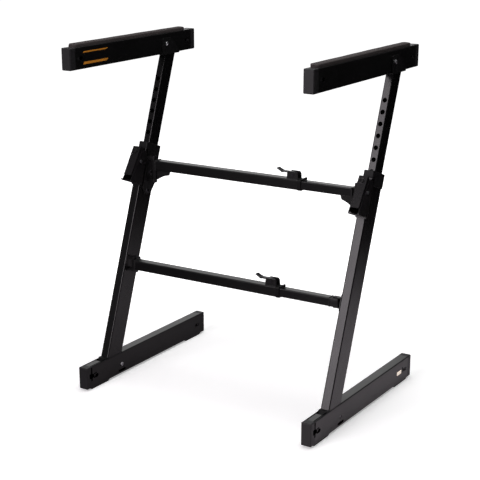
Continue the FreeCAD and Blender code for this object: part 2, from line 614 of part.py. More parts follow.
def latch_lever():
    """Folded sheet: a sloping front plate with a boss, and two cheeks with a pivot eye."""
    half = LEVER_WIDTH / 2
    eye_y, eye_z = -PIVOT_REACH, PIVOT_HEIGHT
    eye_half = LEVER_EYE * 0.6
    outline = [(-LEVER_REACH_TOP, LEVER_TOP), (-LEVER_REACH_BOTTOM, LEVER_BOTTOM),
               (-LEVER_REACH_BOTTOM + LEVER_LIP, LEVER_BOTTOM),
               (eye_y - eye_half, eye_z - 1.75 * LEVER_EYE),
               (eye_y + eye_half, eye_z - 0.5 * LEVER_EYE),
               (eye_y + eye_half, eye_z + 0.75 * LEVER_EYE),
               (-LEVER_REACH_TOP + LEVER_BROW, LEVER_TOP)]
    lever = side_plate(outline, -half, half)
    lever = lever.fuse(rod(LEVER_EYE, (-half, eye_y, eye_z), (half, eye_y, eye_z)))
    top, bottom = LEVER_TOP + LEVER_LIP, LEVER_BOTTOM - LEVER_LIP
    hollow = [(LEVER_SHEET - lever_reach(top), top), (LEVER_SHEET - lever_reach(bottom), bottom),
              (LEG_DEPTH, bottom), (LEG_DEPTH, top)]
    lever = lever.cut(side_plate(hollow, PLATE - half, half - PLATE))
    boss_root = LEVER_SHEET - lever_reach(BOLT_HEIGHT + BOLT_BOSS / 2)
    lever = lever.fuse(rod(BOLT_BOSS / 2, (0, -BOLT_SEAT, BOLT_HEIGHT), (0, boss_root, BOLT_HEIGHT)))
    lever = lever.removeSplitter()
    lever = lever.cut(rod(PIVOT_DIAMETER / 2 + RUNNING_CLEARANCE, (-BOX_WIDTH, eye_y, eye_z),
                          (BOX_WIDTH, eye_y, eye_z)))
    lever = lever.cut(rod(BOLT_DIAMETER / 2 + PLUG_CLEARANCE, (0, -2 * BOLT_SEAT, BOLT_HEIGHT),
                          (0, LEG_DEPTH, BOLT_HEIGHT)))
    return on_leg(lever)


def lock_bolt():
    """The bolt that drops into the upright's holes; the lever draws it out by its head."""
    seat = -BOLT_SEAT
    bolt = tapered(BOLT_DIAMETER / 2, BOLT_DIAMETER * 0.3, seat, BOLT_REACH, 2.0)
    head = rod(BOLT_HEAD_DIAMETER / 2, (0, seat - BOLT_HEAD_HEIGHT, 0), (0, seat, 0))
    rim = [e for e in head.Edges if abs(e.CenterOfMass.y - seat + BOLT_HEAD_HEIGHT) < 0.01]
    head = head.makeChamfer(1.2, rim)
    return on_leg(moved(bolt.fuse(head).removeSplitter(), z=BOLT_HEIGHT))


def latch_spring():
    """Leaf spring folded to a V: it pushes the lever's lower end away from the leg."""
    back = -PLATE - SPRING_GAP
    tip_s = SPRING_TIP_HEIGHT
    tip_d = -lever_reach(tip_s) + LEVER_SHEET + SPRING_GAP
    length = math.hypot(tip_d - back, tip_s - SPRING_BEND_HEIGHT)
    slope = V(0, tip_d - back, tip_s - SPRING_BEND_HEIGHT) / length
    normal = V(0, slope.z, -slope.y) * SPRING_SHEET
    inner_back = back - SPRING_SHEET
    run = (back + normal.y - inner_back) / -slope.y
    inner_bend = SPRING_BEND_HEIGHT + normal.z + run * slope.z
    leaf = side_plate([(back, tip_s), (back, SPRING_BEND_HEIGHT), (tip_d, tip_s),
                       (tip_d + normal.y, tip_s + normal.z), (inner_back, inner_bend),
                       (inner_back, tip_s)], -SPRING_WIDTH / 2, SPRING_WIDTH / 2)
    for height, radius in ((SPRING_BEND_HEIGHT, SPRING_BEND_RADIUS + SPRING_SHEET),
                           (inner_bend, SPRING_BEND_RADIUS)):
        bend = [e for e in along(leaf, (1, 0, 0)) if abs(e.CenterOfMass.z - height) < 0.01]
        leaf = leaf.makeFillet(radius, bend)
    return on_leg(leaf)


# ---- hinge plates, pins and screws ---------------------------------------------------------
def knuckle(y, z0, z1):
    """A hinge knuckle: a barrel and the tab that ties it to its plate."""
    barrel = rod(BARREL_RADIUS, (HINGE_OFFSET, y, z0), (HINGE_OFFSET, y, z1))
    root = LEG_SIDE + HINGE_PLATE - TAB_SINK
    tab = block(root, HINGE_OFFSET, y - BARREL_RADIUS, y + BARREL_RADIUS, z0, z1)
    return barrel.fuse(tab).removeSplitter()


def barrel_span(bar_z, drop):
    """Lowest and highest point of the bar's own barrel."""
    return bar_z - BAR_SIZE / 2 - drop, bar_z + BAR_SIZE / 2


def hinge_plate(outline, y, bar_z, drop, knuckle_height, screws):
    low, high = barrel_span(bar_z, drop)
    plate = side_plate(outline, LEG_SIDE, LEG_SIDE + HINGE_PLATE)
    plate = plate.makeFillet(PLATE_CORNER * 0.95, along(plate, (1, 0, 0)))
    for d, s in screws:
        plate = plate.cut(rod(SCREW_DIAMETER / 2, (LEG_SIDE - 5, d, s), (LEG_SIDE + 9, d, s)))
    plate = on_leg(plate)
    plate = plate.fuse([knuckle(y, high + HINGE_GAP, high + HINGE_GAP + knuckle_height),
                        knuckle(y, low - HINGE_GAP - knuckle_height, low - HINGE_GAP)])
    pin = rod(HINGE_PIN / 2, (HINGE_OFFSET, y, low - 50), (HINGE_OFFSET, y, high + 50))
    return plate.cut(pin).removeSplitter()


def upper_hinge_plate():
    """Long plate that clears the latch in front and the collar above, rounded at its tail."""
    s = to_leg(UPPER_Y, UPPER_Z)[1]
    front, rear = LATCH_GRIP + CHEEK_GAP, LEG_DEPTH + PLATE_OVERHANG
    top, tail = LEG_TOP - COLLAR_HEIGHT - PLATE_GAP, s - PLATE_TAIL
    corner = 2 * PLATE_CORNER
    outline = [(front, top), (front, s + CHEEK_GAP), (front + PLATE_CORNER, s - corner),
               (front + PLATE_CORNER, tail + corner), (front + PLATE_CORNER + corner, tail),
               (rear - 2 * corner, tail), (rear - corner, tail + corner), (rear, s - PLATE_TAIL / 2),
               (rear, top)]
    return hinge_plate(outline, UPPER_Y, UPPER_Z, GUSSET_DROP, UPPER_KNUCKLE,
                       hinge_screw_places()[:2])


def lower_hinge_plate():
    d, s = to_leg(LOWER_Y, LOWER_Z)
    front, rear = d - LOWER_PLATE_FRONT, d + LOWER_PLATE_REAR
    top, bottom = s + LOWER_PLATE_HALF, s - LOWER_PLATE_HALF
    outline = [(front, top), (front, s - PLATE_CORNER), (d, bottom), (rear, bottom), (rear, top)]
    return hinge_plate(outline, LOWER_Y, LOWER_Z, 0.0, LOWER_KNUCKLE, hinge_screw_places()[2:])


def hinge_pins():
    pins = []
    for y, bar_z, drop, tall in ((UPPER_Y, UPPER_Z, GUSSET_DROP, UPPER_KNUCKLE),
                                 (LOWER_Y, LOWER_Z, 0.0, LOWER_KNUCKLE)):
        low, high = barrel_span(bar_z, drop)
        low, high = low - HINGE_GAP - tall, high + HINGE_GAP + tall
        pin = rod(HINGE_PIN / 2, (HINGE_OFFSET, y, low), (HINGE_OFFSET, y, high))
        head = rod(HINGE_PIN * 0.75, (HINGE_OFFSET, y, high), (HINGE_OFFSET, y, high + 2))
        clip = rod(HINGE_PIN * 0.7, (HINGE_OFFSET, y, low - 1.5), (HINGE_OFFSET, y, low))
        pins.append(pin.fuse([head, clip]).removeSplitter())
    return Part.makeCompound(pins)


def hinge_screws():
    screws = []
    face = LEG_SIDE + HINGE_PLATE
    for d, s in hinge_screw_places():
        shank = rod(SCREW_DIAMETER / 2, (LEG_SIDE - LEG_WALL, d, s), (face, d, s))
        head = rod(SCREW_HEAD / 2, (face, d, s), (face + SCREW_HEAD_HEIGHT, d, s))
        rim = [e for e in head.Edges if abs(e.CenterOfMass.x - face - SCREW_HEAD_HEIGHT) < 0.01]
        head = head.makeChamfer(1.0, rim)
        screws.append(on_leg(shank.fuse(head).removeSplitter()))
    return Part.makeCompound(screws)


# ---- crossbars, in the left side's sense: the hinge is at x = 0 and the bar runs to +x --------
def bar_knuckle(y, bar_z, size, reach, drop, clearance):
    """Barrel, welded end plate and gusset that carry a bar on its hinge pin."""
    low, high = barrel_span(bar_z, drop)
    plate_x = END_PLATE_OFFSET
    barrel = rod(BARREL_RADIUS, (0, y, low), (0, y, high))
    tab = block(0, plate_x + 1, y - BARREL_RADIUS, y + BARREL_RADIUS, low, high)
    plate = block(plate_x, plate_x + END_PLATE, y - BAR_SIZE / 2, y + BAR_SIZE / 2,
                  bar_z - BAR_SIZE / 2, high)
    parts = [tab, plate]
    if drop:
        bar_bottom = bar_z - size / 2
        x0, x1 = plate_x, reach
        foot_x = x0 + END_PLATE
        tip = V(x1 - GUSSET_TIP / 3, 0, bar_bottom - GUSSET_TIP)
        middle = V(foot_x + (tip.x - foot_x) * (0.5 - GUSSET_HOLLOW), 0,
                   low + (tip.z - low) * (0.5 + GUSSET_HOLLOW))
        web = Part.Wire([
            Part.LineSegment(V(x0, 0, low), V(foot_x, 0, low)).toShape(),
            Part.Arc(V(foot_x, 0, low), middle, tip).toShape(),
            Part.LineSegment(tip, V(x1, 0, bar_bottom)).toShape(),
            Part.LineSegment(V(x1, 0, bar_bottom), V(x0, 0, bar_bottom)).toShape(),
            Part.LineSegment(V(x0, 0, bar_bottom), V(x0, 0, low)).toShape()])
        web = Part.Face(web).extrude(V(0, GUSSET_SHEET, 0))
        parts.append(moved(web, y=y - GUSSET_SHEET / 2))
    shape = barrel.fuse(parts).removeSplitter()
    return shape.cut(rod(HINGE_PIN / 2 + clearance, (0, y, low - 5), (0, y, high + 5)))


def square_tube(x0, x1, y, z, size):
    half = size / 2
    corner = BAR_CORNER
    outer = soft_block(x0, x1, y - half, y + half, z - half, z + half, corner, (1, 0, 0))
    w = BAR_WALL
    inner = soft_block(x0, x1, y - half + w, y + half - w, z - half + w, z + half - w,
                       corner - w, (1, 0, 0))
    return outer.cut(inner)


def clamp_ears(y, z):
    """Two ears welded on the outer tube's top, which carry the cam lever's pin."""
    top = z + BAR_SIZE / 2
    x1 = OUTER_BAR_END - EAR_INSET - BUSH_LAP
    x0 = x1 - EAR_LENGTH
    middle = (x0 + x1) / 2
    brow, cut = top + EAR_HEIGHT, EAR_HEIGHT / 4
    points = [(x0, top), (x1, top), (x1 - cut / 4, brow - cut), (x1 - cut, brow), (x0 + cut, brow),
              (x0 + cut / 4, brow - cut)]
    ears = []
    for side in (-1, 1):
        start = y + side * EAR_SPACING / 2
        face = profile([(px, start, pz) for px, pz in points])
        ears.append(face.extrude(V(0, side * EAR_SHEET, 0)))
    strap = block(x0, x1, y - EAR_SPACING / 2, y + EAR_SPACING / 2, top, top + 1.5)
    window = block(middle - CAM_RADIUS - 4, middle + CAM_RADIUS + 4, y - EAR_SPACING / 2,
                   y + EAR_SPACING / 2, top, top + 1.5)
    shape = ears[0].fuse([ears[1], strap.cut(window)])
    pin = rod(CAM_PIN / 2, (middle, y - 20, top + CAM_HEIGHT), (middle, y + 20, top + CAM_HEIGHT))
    return shape.cut(pin)


def cam_place(z):
    return OUTER_BAR_END - EAR_INSET - BUSH_LAP - EAR_LENGTH / 2, z + BAR_SIZE / 2 + CAM_HEIGHT


def cam_pin(y, z):
    x, pin_z = cam_place(z)
    half = EAR_SPACING / 2 + EAR_SHEET
    pin = rod(CAM_PIN / 2, (x, y - half, pin_z), (x, y + half, pin_z))
    heads = [rod(CAM_PIN * 0.75, (x, y + side * half, pin_z), (x, y + side * (half + 1.2), pin_z))
             for side in (-1, 1)]
    return pin.fuse(heads).removeSplitter()


def cam_lever(y, z):
    """Eccentric cam with a flat neck along the bar and a rising paddle at its tip."""
    x, pin_z = cam_place(z)
    half = EAR_SPACING / 2 - CAM_SIDE_GAP
    cam = rod(CAM_RADIUS, (x, y - half, pin_z - CAM_OFFSET), (x, y + half, pin_z - CAM_OFFSET))
    root, tip = CAM_RADIUS + 1, NECK_LENGTH + PADDLE_LENGTH
    low, high = NECK_TOP - NECK_SHEET, NECK_TOP + PADDLE_RISE
    points = [(CAM_RADIUS / 2, NECK_SHEET), (-CAM_OFFSET, CAM_RADIUS), (-root, NECK_TOP),
              (-NECK_LENGTH, NECK_TOP), (-tip, high), (-tip - 1, high - PADDLE_SHEET * 0.8),
              (-NECK_LENGTH - NECK_SHEET, NECK_TOP - PADDLE_SHEET), (-NECK_LENGTH + NECK_SHEET, low),
              (-root, low), (-CAM_RADIUS * 0.75, -CAM_RADIUS / 2), (NECK_SHEET, -CAM_RADIUS / 2)]
    handle = profile([(x + px, y - half, pin_z + pz) for px, pz in points])
    handle = handle.extrude(V(0, 2 * half, 0))
    end = [e for e in along(handle, (0, 1, 0)) if e.CenterOfMass.x < x - tip + 0.5]
    handle = handle.makeFillet(PADDLE_SHEET * 0.3, end)
    lever = cam.fuse(handle).removeSplitter()
    hole = rod(CAM_PIN / 2 + RUNNING_CLEARANCE, (x, y - EAR_SPACING, pin_z),
               (x, y + EAR_SPACING, pin_z))
    return lever.cut(hole)


def end_bush(y, z):
    """Plastic bush over the outer tube's mouth, with a thumb tab on top."""
    half = BAR_SIZE / 2 + BUSH_WALL
    end = OUTER_BAR_END
    body = soft_block(end - BUSH_LAP, end + BUSH_NOSE, y - half, y + half, z - half, z + half, 4.0,
                      (1, 0, 0))
    seat = soft_block(end - BUSH_LAP - 1, end, y - BAR_SIZE / 2, y + BAR_SIZE / 2, z - BAR_SIZE / 2,
                      z + BAR_SIZE / 2, BAR_CORNER, (1, 0, 0))
    mouth = INNER_SIZE / 2 + SLIDE_CLEARANCE
    bore = block(end - 20, end + 20, y - mouth, y + mouth, z - mouth, z + mouth)
    body = body.cut(seat).cut(bore)
    x0 = end + BUSH_NOSE
    lip = mouth + 0.5
    tab = profile([(x0 - 3, y - 5, z + lip), (x0 + 9, y - 5, z + lip), (x0 + 9, y - 5, z + half + 5),
                   (x0 + 5, y - 5, z + half + 5), (x0, y - 5, z + half - 0.5),
                   (x0 - 3, y - 5, z + half - 0.5)]).extrude(V(0, 10, 0))
    return body.fuse(tab).removeSplitter()


def crossbar(level, y, bar_z, drop):
    """The pieces of one telescoping crossbar, each in its place between the two sides."""
    left = bar_knuckle(y, bar_z, BAR_SIZE, OUTER_GUSSET_REACH, drop, RUNNING_CLEARANCE)
    clearance = RUNNING_CLEARANCE if drop else OPEN_PIVOT_CLEARANCE
    right = bar_knuckle(y, bar_z, INNER_SIZE, INNER_GUSSET_REACH, drop, clearance)
    right = right.mirror(V(0, 0, 0), V(1, 0, 0))
    return {
        level + "_outer_bar": square_tube(-BAR_START, OUTER_BAR_END, y, bar_z, BAR_SIZE),
        level + "_outer_bar_hinge": moved(left, x=-HINGE_X),
        level + "_clamp_ears": clamp_ears(y, bar_z),
        level + "_end_bush": end_bush(y, bar_z),
        level + "_cam_lever": cam_lever(y, bar_z),
        level + "_cam_pin": cam_pin(y, bar_z),
        level + "_inner_bar": square_tube(INNER_BAR_START, BAR_START, y, bar_z, INNER_SIZE),
        level + "_inner_bar_hinge": moved(right, x=HINGE_X),
    }


# ---- the whole stand -----------------------------------------------------------------------
SIDE_PIECES = {
    "foot_tube": foot_tube, "foot_caps": foot_caps, "foot_pads": foot_pads,
    "leg_socket": leg_socket, "foot_bolt": foot_bolt, "leg_tube": leg_tube,
    "leg_collar": leg_collar, "latch_bracket": latch_bracket, "latch_pivot": latch_pivot,
    "latch_lever": latch_lever, "lock_bolt": lock_bolt, "latch_spring": latch_spring,
    "upright": upright, "arm_saddle": arm_saddle, "arm_tube": arm_tube, "arm_caps": arm_caps,
    "arm_pad": arm_pad, "arm_bolt": arm_bolt, "upper_hinge_plate": upper_hinge_plate,
    "lower_hinge_plate": lower_hinge_plate, "hinge_pins": hinge_pins, "hinge_screws": hinge_screws,
}


def build():
    """All pieces by name. A side's pieces are made once, with +x towards the other side."""
    pieces = {}
    for name, make in SIDE_PIECES.items():
        shape = make()
        pieces["left_" + name] = moved(shape, x=-SIDE_SPACING / 2)
        mirrored = shape.mirror(V(0, 0, 0), V(1, 0, 0))
        pieces["right_" + name] = moved(mirrored, x=SIDE_SPACING / 2)
    pieces.update(crossbar("upper", UPPER_Y, UPPER_Z, GUSSET_DROP))
    pieces.update(crossbar("lower", LOWER_Y, LOWER_Z, 0.0))
    return pieces


os.makedirs("parts", exist_ok=True)
made = build()
for name, shape in made.items():
    shape.exportStep("parts/" + name + ".step")
print("pieces written:", len(made))
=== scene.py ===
# %% [markdown]
# # A folding keyboard stand, dressed for its picture
#
# The stand is black steel: two leaning sides with long feet and padded arms, joined by two
# telescoping crossbars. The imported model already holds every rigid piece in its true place, so
# this lesson loads it as a frame, gives each piece its finish, and adds what looks need: foam
# pads, ribbed rubber feet, screws with hex sockets, shaped cam levers and weld beads.

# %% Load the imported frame
import json
import math

import bmesh
import bpy
from mathutils import Matrix, Vector

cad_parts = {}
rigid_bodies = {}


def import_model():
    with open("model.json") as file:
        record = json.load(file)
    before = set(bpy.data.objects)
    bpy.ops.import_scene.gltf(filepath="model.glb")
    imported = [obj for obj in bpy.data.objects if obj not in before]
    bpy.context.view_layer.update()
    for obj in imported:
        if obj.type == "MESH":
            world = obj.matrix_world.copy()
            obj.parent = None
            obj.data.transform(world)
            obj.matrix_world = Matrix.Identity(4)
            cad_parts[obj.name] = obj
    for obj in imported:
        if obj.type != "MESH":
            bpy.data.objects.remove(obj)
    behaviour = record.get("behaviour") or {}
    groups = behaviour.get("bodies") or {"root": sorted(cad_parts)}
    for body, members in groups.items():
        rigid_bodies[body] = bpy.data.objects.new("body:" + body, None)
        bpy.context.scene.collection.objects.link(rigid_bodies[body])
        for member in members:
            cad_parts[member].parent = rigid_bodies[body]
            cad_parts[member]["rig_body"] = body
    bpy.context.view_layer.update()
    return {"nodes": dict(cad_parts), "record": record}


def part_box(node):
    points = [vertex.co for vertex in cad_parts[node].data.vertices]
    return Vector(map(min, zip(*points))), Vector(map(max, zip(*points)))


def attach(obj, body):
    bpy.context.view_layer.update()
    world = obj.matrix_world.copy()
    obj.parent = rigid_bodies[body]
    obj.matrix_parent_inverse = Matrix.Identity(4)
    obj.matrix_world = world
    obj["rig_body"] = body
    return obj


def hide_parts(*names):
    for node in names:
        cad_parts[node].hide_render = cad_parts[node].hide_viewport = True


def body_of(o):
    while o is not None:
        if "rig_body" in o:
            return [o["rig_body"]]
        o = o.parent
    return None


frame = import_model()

SIDES = ("left", "right")
LEVELS = ("upper", "lower")
nodes = frame["nodes"]

# %% [markdown]
# ## The camera
#
# The photograph was taken from the front right, a little above the arms, with a long lens. A
# camera has a place, two turning angles and a focal length, and all of them can be worked out
# from straight edges whose real directions are known. The small upward shift keeps the verticals
# where a photographer's shift lens would have put them.

# %% Camera
CAMERA_PLACE = Vector((1.68017, -2.70434, 1.28570))
CAMERA_AZIMUTH = 32.302
CAMERA_ELEVATION = 18.192
CAMERA_LENS = 95.04
SENSOR_WIDTH = 36
FRAME_PIXELS = 480
PRINCIPAL_POINT = (236, 300)

camera = bpy.data.objects.new("camera", bpy.data.cameras.new("camera"))
bpy.context.scene.collection.objects.link(camera)
camera.location = CAMERA_PLACE
camera.rotation_euler = (math.radians(90 - CAMERA_ELEVATION), 0, math.radians(CAMERA_AZIMUTH))
camera.data.lens = CAMERA_LENS
camera.data.sensor_width = SENSOR_WIDTH
camera.data.shift_x = (FRAME_PIXELS / 2 - PRINCIPAL_POINT[0]) / FRAME_PIXELS
camera.data.shift_y = (PRINCIPAL_POINT[1] - FRAME_PIXELS / 2) / FRAME_PIXELS
bpy.context.scene.camera = camera
bpy.context.scene.view_settings.view_transform = "Standard"

# %% [markdown]
# ## Light and floor
#
# Black gloss shows what is around it more than the light that falls on it. The right leg mirrors
# a tall soft box at the front left and the left leg just misses it. The right foot mirrors a
# bright floor, the left foot a dimmer one, and the arms mirror the dark room. So, for everything
# except the camera, a painted pool of light makes the floor pale to the right of the stand, and the
# floor is dark further away. The camera sees plain white, with soft shadows under the feet.

# %% World
STUDIO_GREY = (0.06, 0.0582, 0.06, 1)
world = bpy.data.worlds.new("studio")
bpy.context.scene.world = world
world.use_nodes = True
tree = world.node_tree
tree.nodes.clear()
seen = tree.nodes.new("ShaderNodeLightPath")
white = tree.nodes.new("ShaderNodeBackground")
white.inputs["Color"].default_value = (1, 1, 1, 1)
grey = tree.nodes.new("ShaderNodeBackground")
grey.inputs["Color"].default_value = STUDIO_GREY
pick = tree.nodes.new("ShaderNodeMixShader")
out = tree.nodes.new("ShaderNodeOutputWorld")
tree.links.new(seen.outputs["Is Camera Ray"], pick.inputs[0])
tree.links.new(grey.outputs[0], pick.inputs[1])
tree.links.new(white.outputs[0], pick.inputs[2])
tree.links.new(pick.outputs[0], out.inputs["Surface"])


# %% Soft boxes
def soft_box(name, place, target, size, radiance, tint=(1, 1, 1)):
    """A rectangular area lamp aimed at a point, whose face has the given brightness."""
    lamp = bpy.data.lights.new(name, "AREA")
    lamp.shape = "RECTANGLE"
    lamp.size, lamp.size_y = size
    lamp.energy = radiance * math.pi * size[0] * size[1]
    lamp.color = tint
    holder = bpy.data.objects.new(name, lamp)
    bpy.context.scene.collection.objects.link(holder)
    holder.location = place
    holder.rotation_euler = (Vector(target) - Vector(place)).to_track_quat("-Z", "Y").to_euler()


LILAC = (1.0, 0.93, 0.98)
# name, place, target and size in metres, radiance, tint
SOFT_BOXES = (
    ("front_box", (-0.45, -2.75, 1.65), (0.0, 0.0, 0.6), (1.6, 2.2), 4.7, LILAC),
    ("top_box", (0.3, 0.2, 3.2), (0.0, 0.0, 0.3), (2.4, 2.4), 3.4),
    ("back_box", (-2.1, 2.7, 1.55), (0.0, 0.0, 0.4), (2.8, 1.6), 0.95),
)
for box in SOFT_BOXES:
    soft_box(*box)
print("soft boxes:", len(SOFT_BOXES))

# %% Floor
FLOOR_HALF = 14.0
# The painted pool of light: for all rays but the camera's, the floor is pale and lilac round this
# centre and dark beyond.
PAINTED_POOL_CENTRE = (0.8, 0.0, 0.0)
PAINTED_POOL_RADIUS, DARK_RADIUS = 0.3, 1.6
PAINTED_POOL_TONE, DARK_TONE = 0.85, 0.03
NEAR_LIFT, FAR_LIFT = 0.36, 1.0
LIFT_START, LIFT_END = 0.3, 1.3
FLOOR_WHITE = (0.9, 0.9, 0.9, 1)
floor_mesh = bpy.data.meshes.new("floor")
corners = [(-FLOOR_HALF, -FLOOR_HALF, 0), (FLOOR_HALF, -FLOOR_HALF, 0),
           (FLOOR_HALF, FLOOR_HALF, 0), (-FLOOR_HALF, FLOOR_HALF, 0)]
floor_mesh.from_pydata(corners, [], [(0, 1, 2, 3)])
floor = bpy.data.objects.new("floor", floor_mesh)
bpy.context.scene.collection.objects.link(floor)

paint = bpy.data.materials.new("white_floor")
paint.use_nodes = True
tree = paint.node_tree
tree.nodes.clear()
place = tree.nodes.new("ShaderNodeTexCoord")


def by_distance(centre, start, end, near, far):
    """A value that goes from near to far as the distance from a centre grows."""
    distance = tree.nodes.new("ShaderNodeVectorMath")
    distance.operation = "DISTANCE"
    tree.links.new(place.outputs["Object"], distance.inputs[0])
    distance.inputs[1].default_value = centre
    ramp = tree.nodes.new("ShaderNodeMapRange")
    ramp.interpolation_type = "SMOOTHSTEP"
    for name, value in (("From Min", start), ("From Max", end), ("To Min", near), ("To Max", far)):
        ramp.inputs[name].default_value = value
    tree.links.new(distance.outputs["Value"], ramp.inputs["Value"])
    return ramp.outputs["Result"]


# What all rays but the camera's see: the painted pool of light, lilac near the stand and dark
# further away.
mirrored = tree.nodes.new("ShaderNodeBsdfDiffuse")
tinted = tree.nodes.new("ShaderNodeVectorMath")
tinted.operation = "SCALE"
tinted.inputs[0].default_value = LILAC
tree.links.new(by_distance(PAINTED_POOL_CENTRE, PAINTED_POOL_RADIUS, DARK_RADIUS, PAINTED_POOL_TONE, DARK_TONE),
               tinted.inputs["Scale"])
tree.links.new(tinted.outputs[0], mirrored.inputs["Color"])
photographed = tree.nodes.new("ShaderNodeBsdfDiffuse")
photographed.inputs["Color"].default_value = FLOOR_WHITE
lift = tree.nodes.new("ShaderNodeEmission")
tree.links.new(by_distance((0, 0, 0), LIFT_START, LIFT_END, NEAR_LIFT, FAR_LIFT),
               lift.inputs["Strength"])
lit = tree.nodes.new("ShaderNodeAddShader")
seen = tree.nodes.new("ShaderNodeLightPath")
pick = tree.nodes.new("ShaderNodeMixShader")
out = tree.nodes.new("ShaderNodeOutputMaterial")
tree.links.new(photographed.outputs[0], lit.inputs[0])
tree.links.new(lift.outputs[0], lit.inputs[1])
tree.links.new(seen.outputs["Is Camera Ray"], pick.inputs[0])
tree.links.new(mirrored.outputs[0], pick.inputs[1])
tree.links.new(lit.outputs[0], pick.inputs[2])
tree.links.new(pick.outputs[0], out.inputs["Surface"])
floor_mesh.materials.append(paint)
print("floor:", 2 * FLOOR_HALF, "m, pale near", PAINTED_POOL_CENTRE[:2])

# %% [markdown]
# ## Finishes
#
# Every black here is a different black. Powder coat has a fine orange-peel ripple and a faint
# dust of paler grains, moulded nylon has a spark-eroded grain, foam rubber has open pores, and
# rubber is dull and greyish where it is rubbed. What they share is a surface that varies a little
# from place to place, so one node group makes that variation and each finish sets its own scale,
# depth and colours. The group puts out colour, roughness and height only, and the shader stays in
# each material.


# %% Helpers for node trees
def socket(group, name, kind, way, value=None):
    made = group.interface.new_socket(name=name, in_out=way, socket_type=kind)
    if value is not None:
        made.default_value = value


def math_node(tree, operation, first, second):
    node = tree.nodes.new("ShaderNodeMath")
    node.operation = operation
    for slot, value in zip(node.inputs, (first, second)):
        if isinstance(value, (int, float)):
            slot.default_value = value
        else:
            tree.links.new(value, slot)
    return node.outputs[0]


# %% The shared surface group
FLECK_START, FLECK_END = 0.52, 0.78
GRAIN_DETAIL, PATCH_DETAIL = 3, 4


def surface_group():
    """Colour mottling, roughness patches and a grain height, all on Object coordinates."""
    group = bpy.data.node_groups.new("varied_surface", "ShaderNodeTree")
    socket(group, "Color", "NodeSocketColor", "INPUT", (0.01, 0.01, 0.01, 1))
    socket(group, "Fleck Color", "NodeSocketColor", "INPUT", (0.05, 0.05, 0.05, 1))
    socket(group, "Fleck Amount", "NodeSocketFloat", "INPUT", 0.2)
    socket(group, "Roughness", "NodeSocketFloat", "INPUT", 0.4)
    socket(group, "Roughness Spread", "NodeSocketFloat", "INPUT", 0.08)
    socket(group, "Grain Scale", "NodeSocketFloat", "INPUT", 900.0)
    socket(group, "Patch Scale", "NodeSocketFloat", "INPUT", 14.0)
    socket(group, "Color", "NodeSocketColor", "OUTPUT")
    socket(group, "Roughness", "NodeSocketFloat", "OUTPUT")
    socket(group, "Height", "NodeSocketFloat", "OUTPUT")
    given = group.nodes.new("NodeGroupInput")
    result = group.nodes.new("NodeGroupOutput")
    where = group.nodes.new("ShaderNodeTexCoord").outputs["Object"]
    grain = group.nodes.new("ShaderNodeTexNoise")
    grain.inputs["Detail"].default_value = GRAIN_DETAIL
    patch = group.nodes.new("ShaderNodeTexNoise")
    patch.inputs["Detail"].default_value = PATCH_DETAIL
    fleck = group.nodes.new("ShaderNodeMapRange")
    fleck.inputs["From Min"].default_value = FLECK_START
    fleck.inputs["From Max"].default_value = FLECK_END
    mix = group.nodes.new("ShaderNodeMix")
    mix.data_type = "RGBA"
    link = group.links.new
    link(where, grain.inputs["Vector"])
    link(given.outputs["Grain Scale"], grain.inputs["Scale"])
    link(where, patch.inputs["Vector"])
    link(given.outputs["Patch Scale"], patch.inputs["Scale"])
    link(grain.outputs["Fac"], fleck.inputs["Value"])
    amount = math_node(group, "MULTIPLY", fleck.outputs["Result"], given.outputs["Fleck Amount"])
    link(amount, mix.inputs["Factor"])
    link(given.outputs["Color"], mix.inputs["A"])
    link(given.outputs["Fleck Color"], mix.inputs["B"])
    link(mix.outputs["Result"], result.inputs["Color"])
    around = math_node(group, "SUBTRACT", patch.outputs["Fac"], 0.5)
    spread = math_node(group, "MULTIPLY", around, given.outputs["Roughness Spread"])
    link(math_node(group, "ADD", given.outputs["Roughness"], spread), result.inputs["Roughness"])
    link(grain.outputs["Fac"], result.inputs["Height"])
    return group


VARIED = surface_group()


# %% Making one finish
def finish(name, color, rough, grain_mm, ripple, metal=0.0, fleck=(0.03, 0.03, 0.03),
           fleck_amount=0.12, spread=0.1, patch=14.0, sheen=0.5):
    """A material: the surface group, a bump from its height, and a Principled shader.

    grain_mm is the size of one grain, ripple how deep it is in millimetres, patch how many
    patches there are to a metre, and sheen the strength of the mirror reflection.
    """
    material = bpy.data.materials.new(name)
    material.use_nodes = True
    tree = material.node_tree
    shader = tree.nodes["Principled BSDF"]
    group = tree.nodes.new("ShaderNodeGroup")
    group.node_tree = VARIED
    group.inputs["Color"].default_value = (*color, 1)
    group.inputs["Fleck Color"].default_value = (*fleck, 1)
    group.inputs["Fleck Amount"].default_value = fleck_amount
    group.inputs["Roughness"].default_value = rough
    group.inputs["Roughness Spread"].default_value = spread
    group.inputs["Grain Scale"].default_value = 1000 / grain_mm
    group.inputs["Patch Scale"].default_value = patch
    bump = tree.nodes.new("ShaderNodeBump")
    bump.inputs["Strength"].default_value = 1.0
    bump.inputs["Distance"].default_value = ripple / 1000
    tree.links.new(group.outputs["Color"], shader.inputs["Base Color"])
    tree.links.new(group.outputs["Roughness"], shader.inputs["Roughness"])
    tree.links.new(group.outputs["Height"], bump.inputs["Height"])
    tree.links.new(bump.outputs["Normal"], shader.inputs["Normal"])
    shader.inputs["Metallic"].default_value = metal
    shader.inputs["Specular IOR Level"].default_value = sheen
    return material


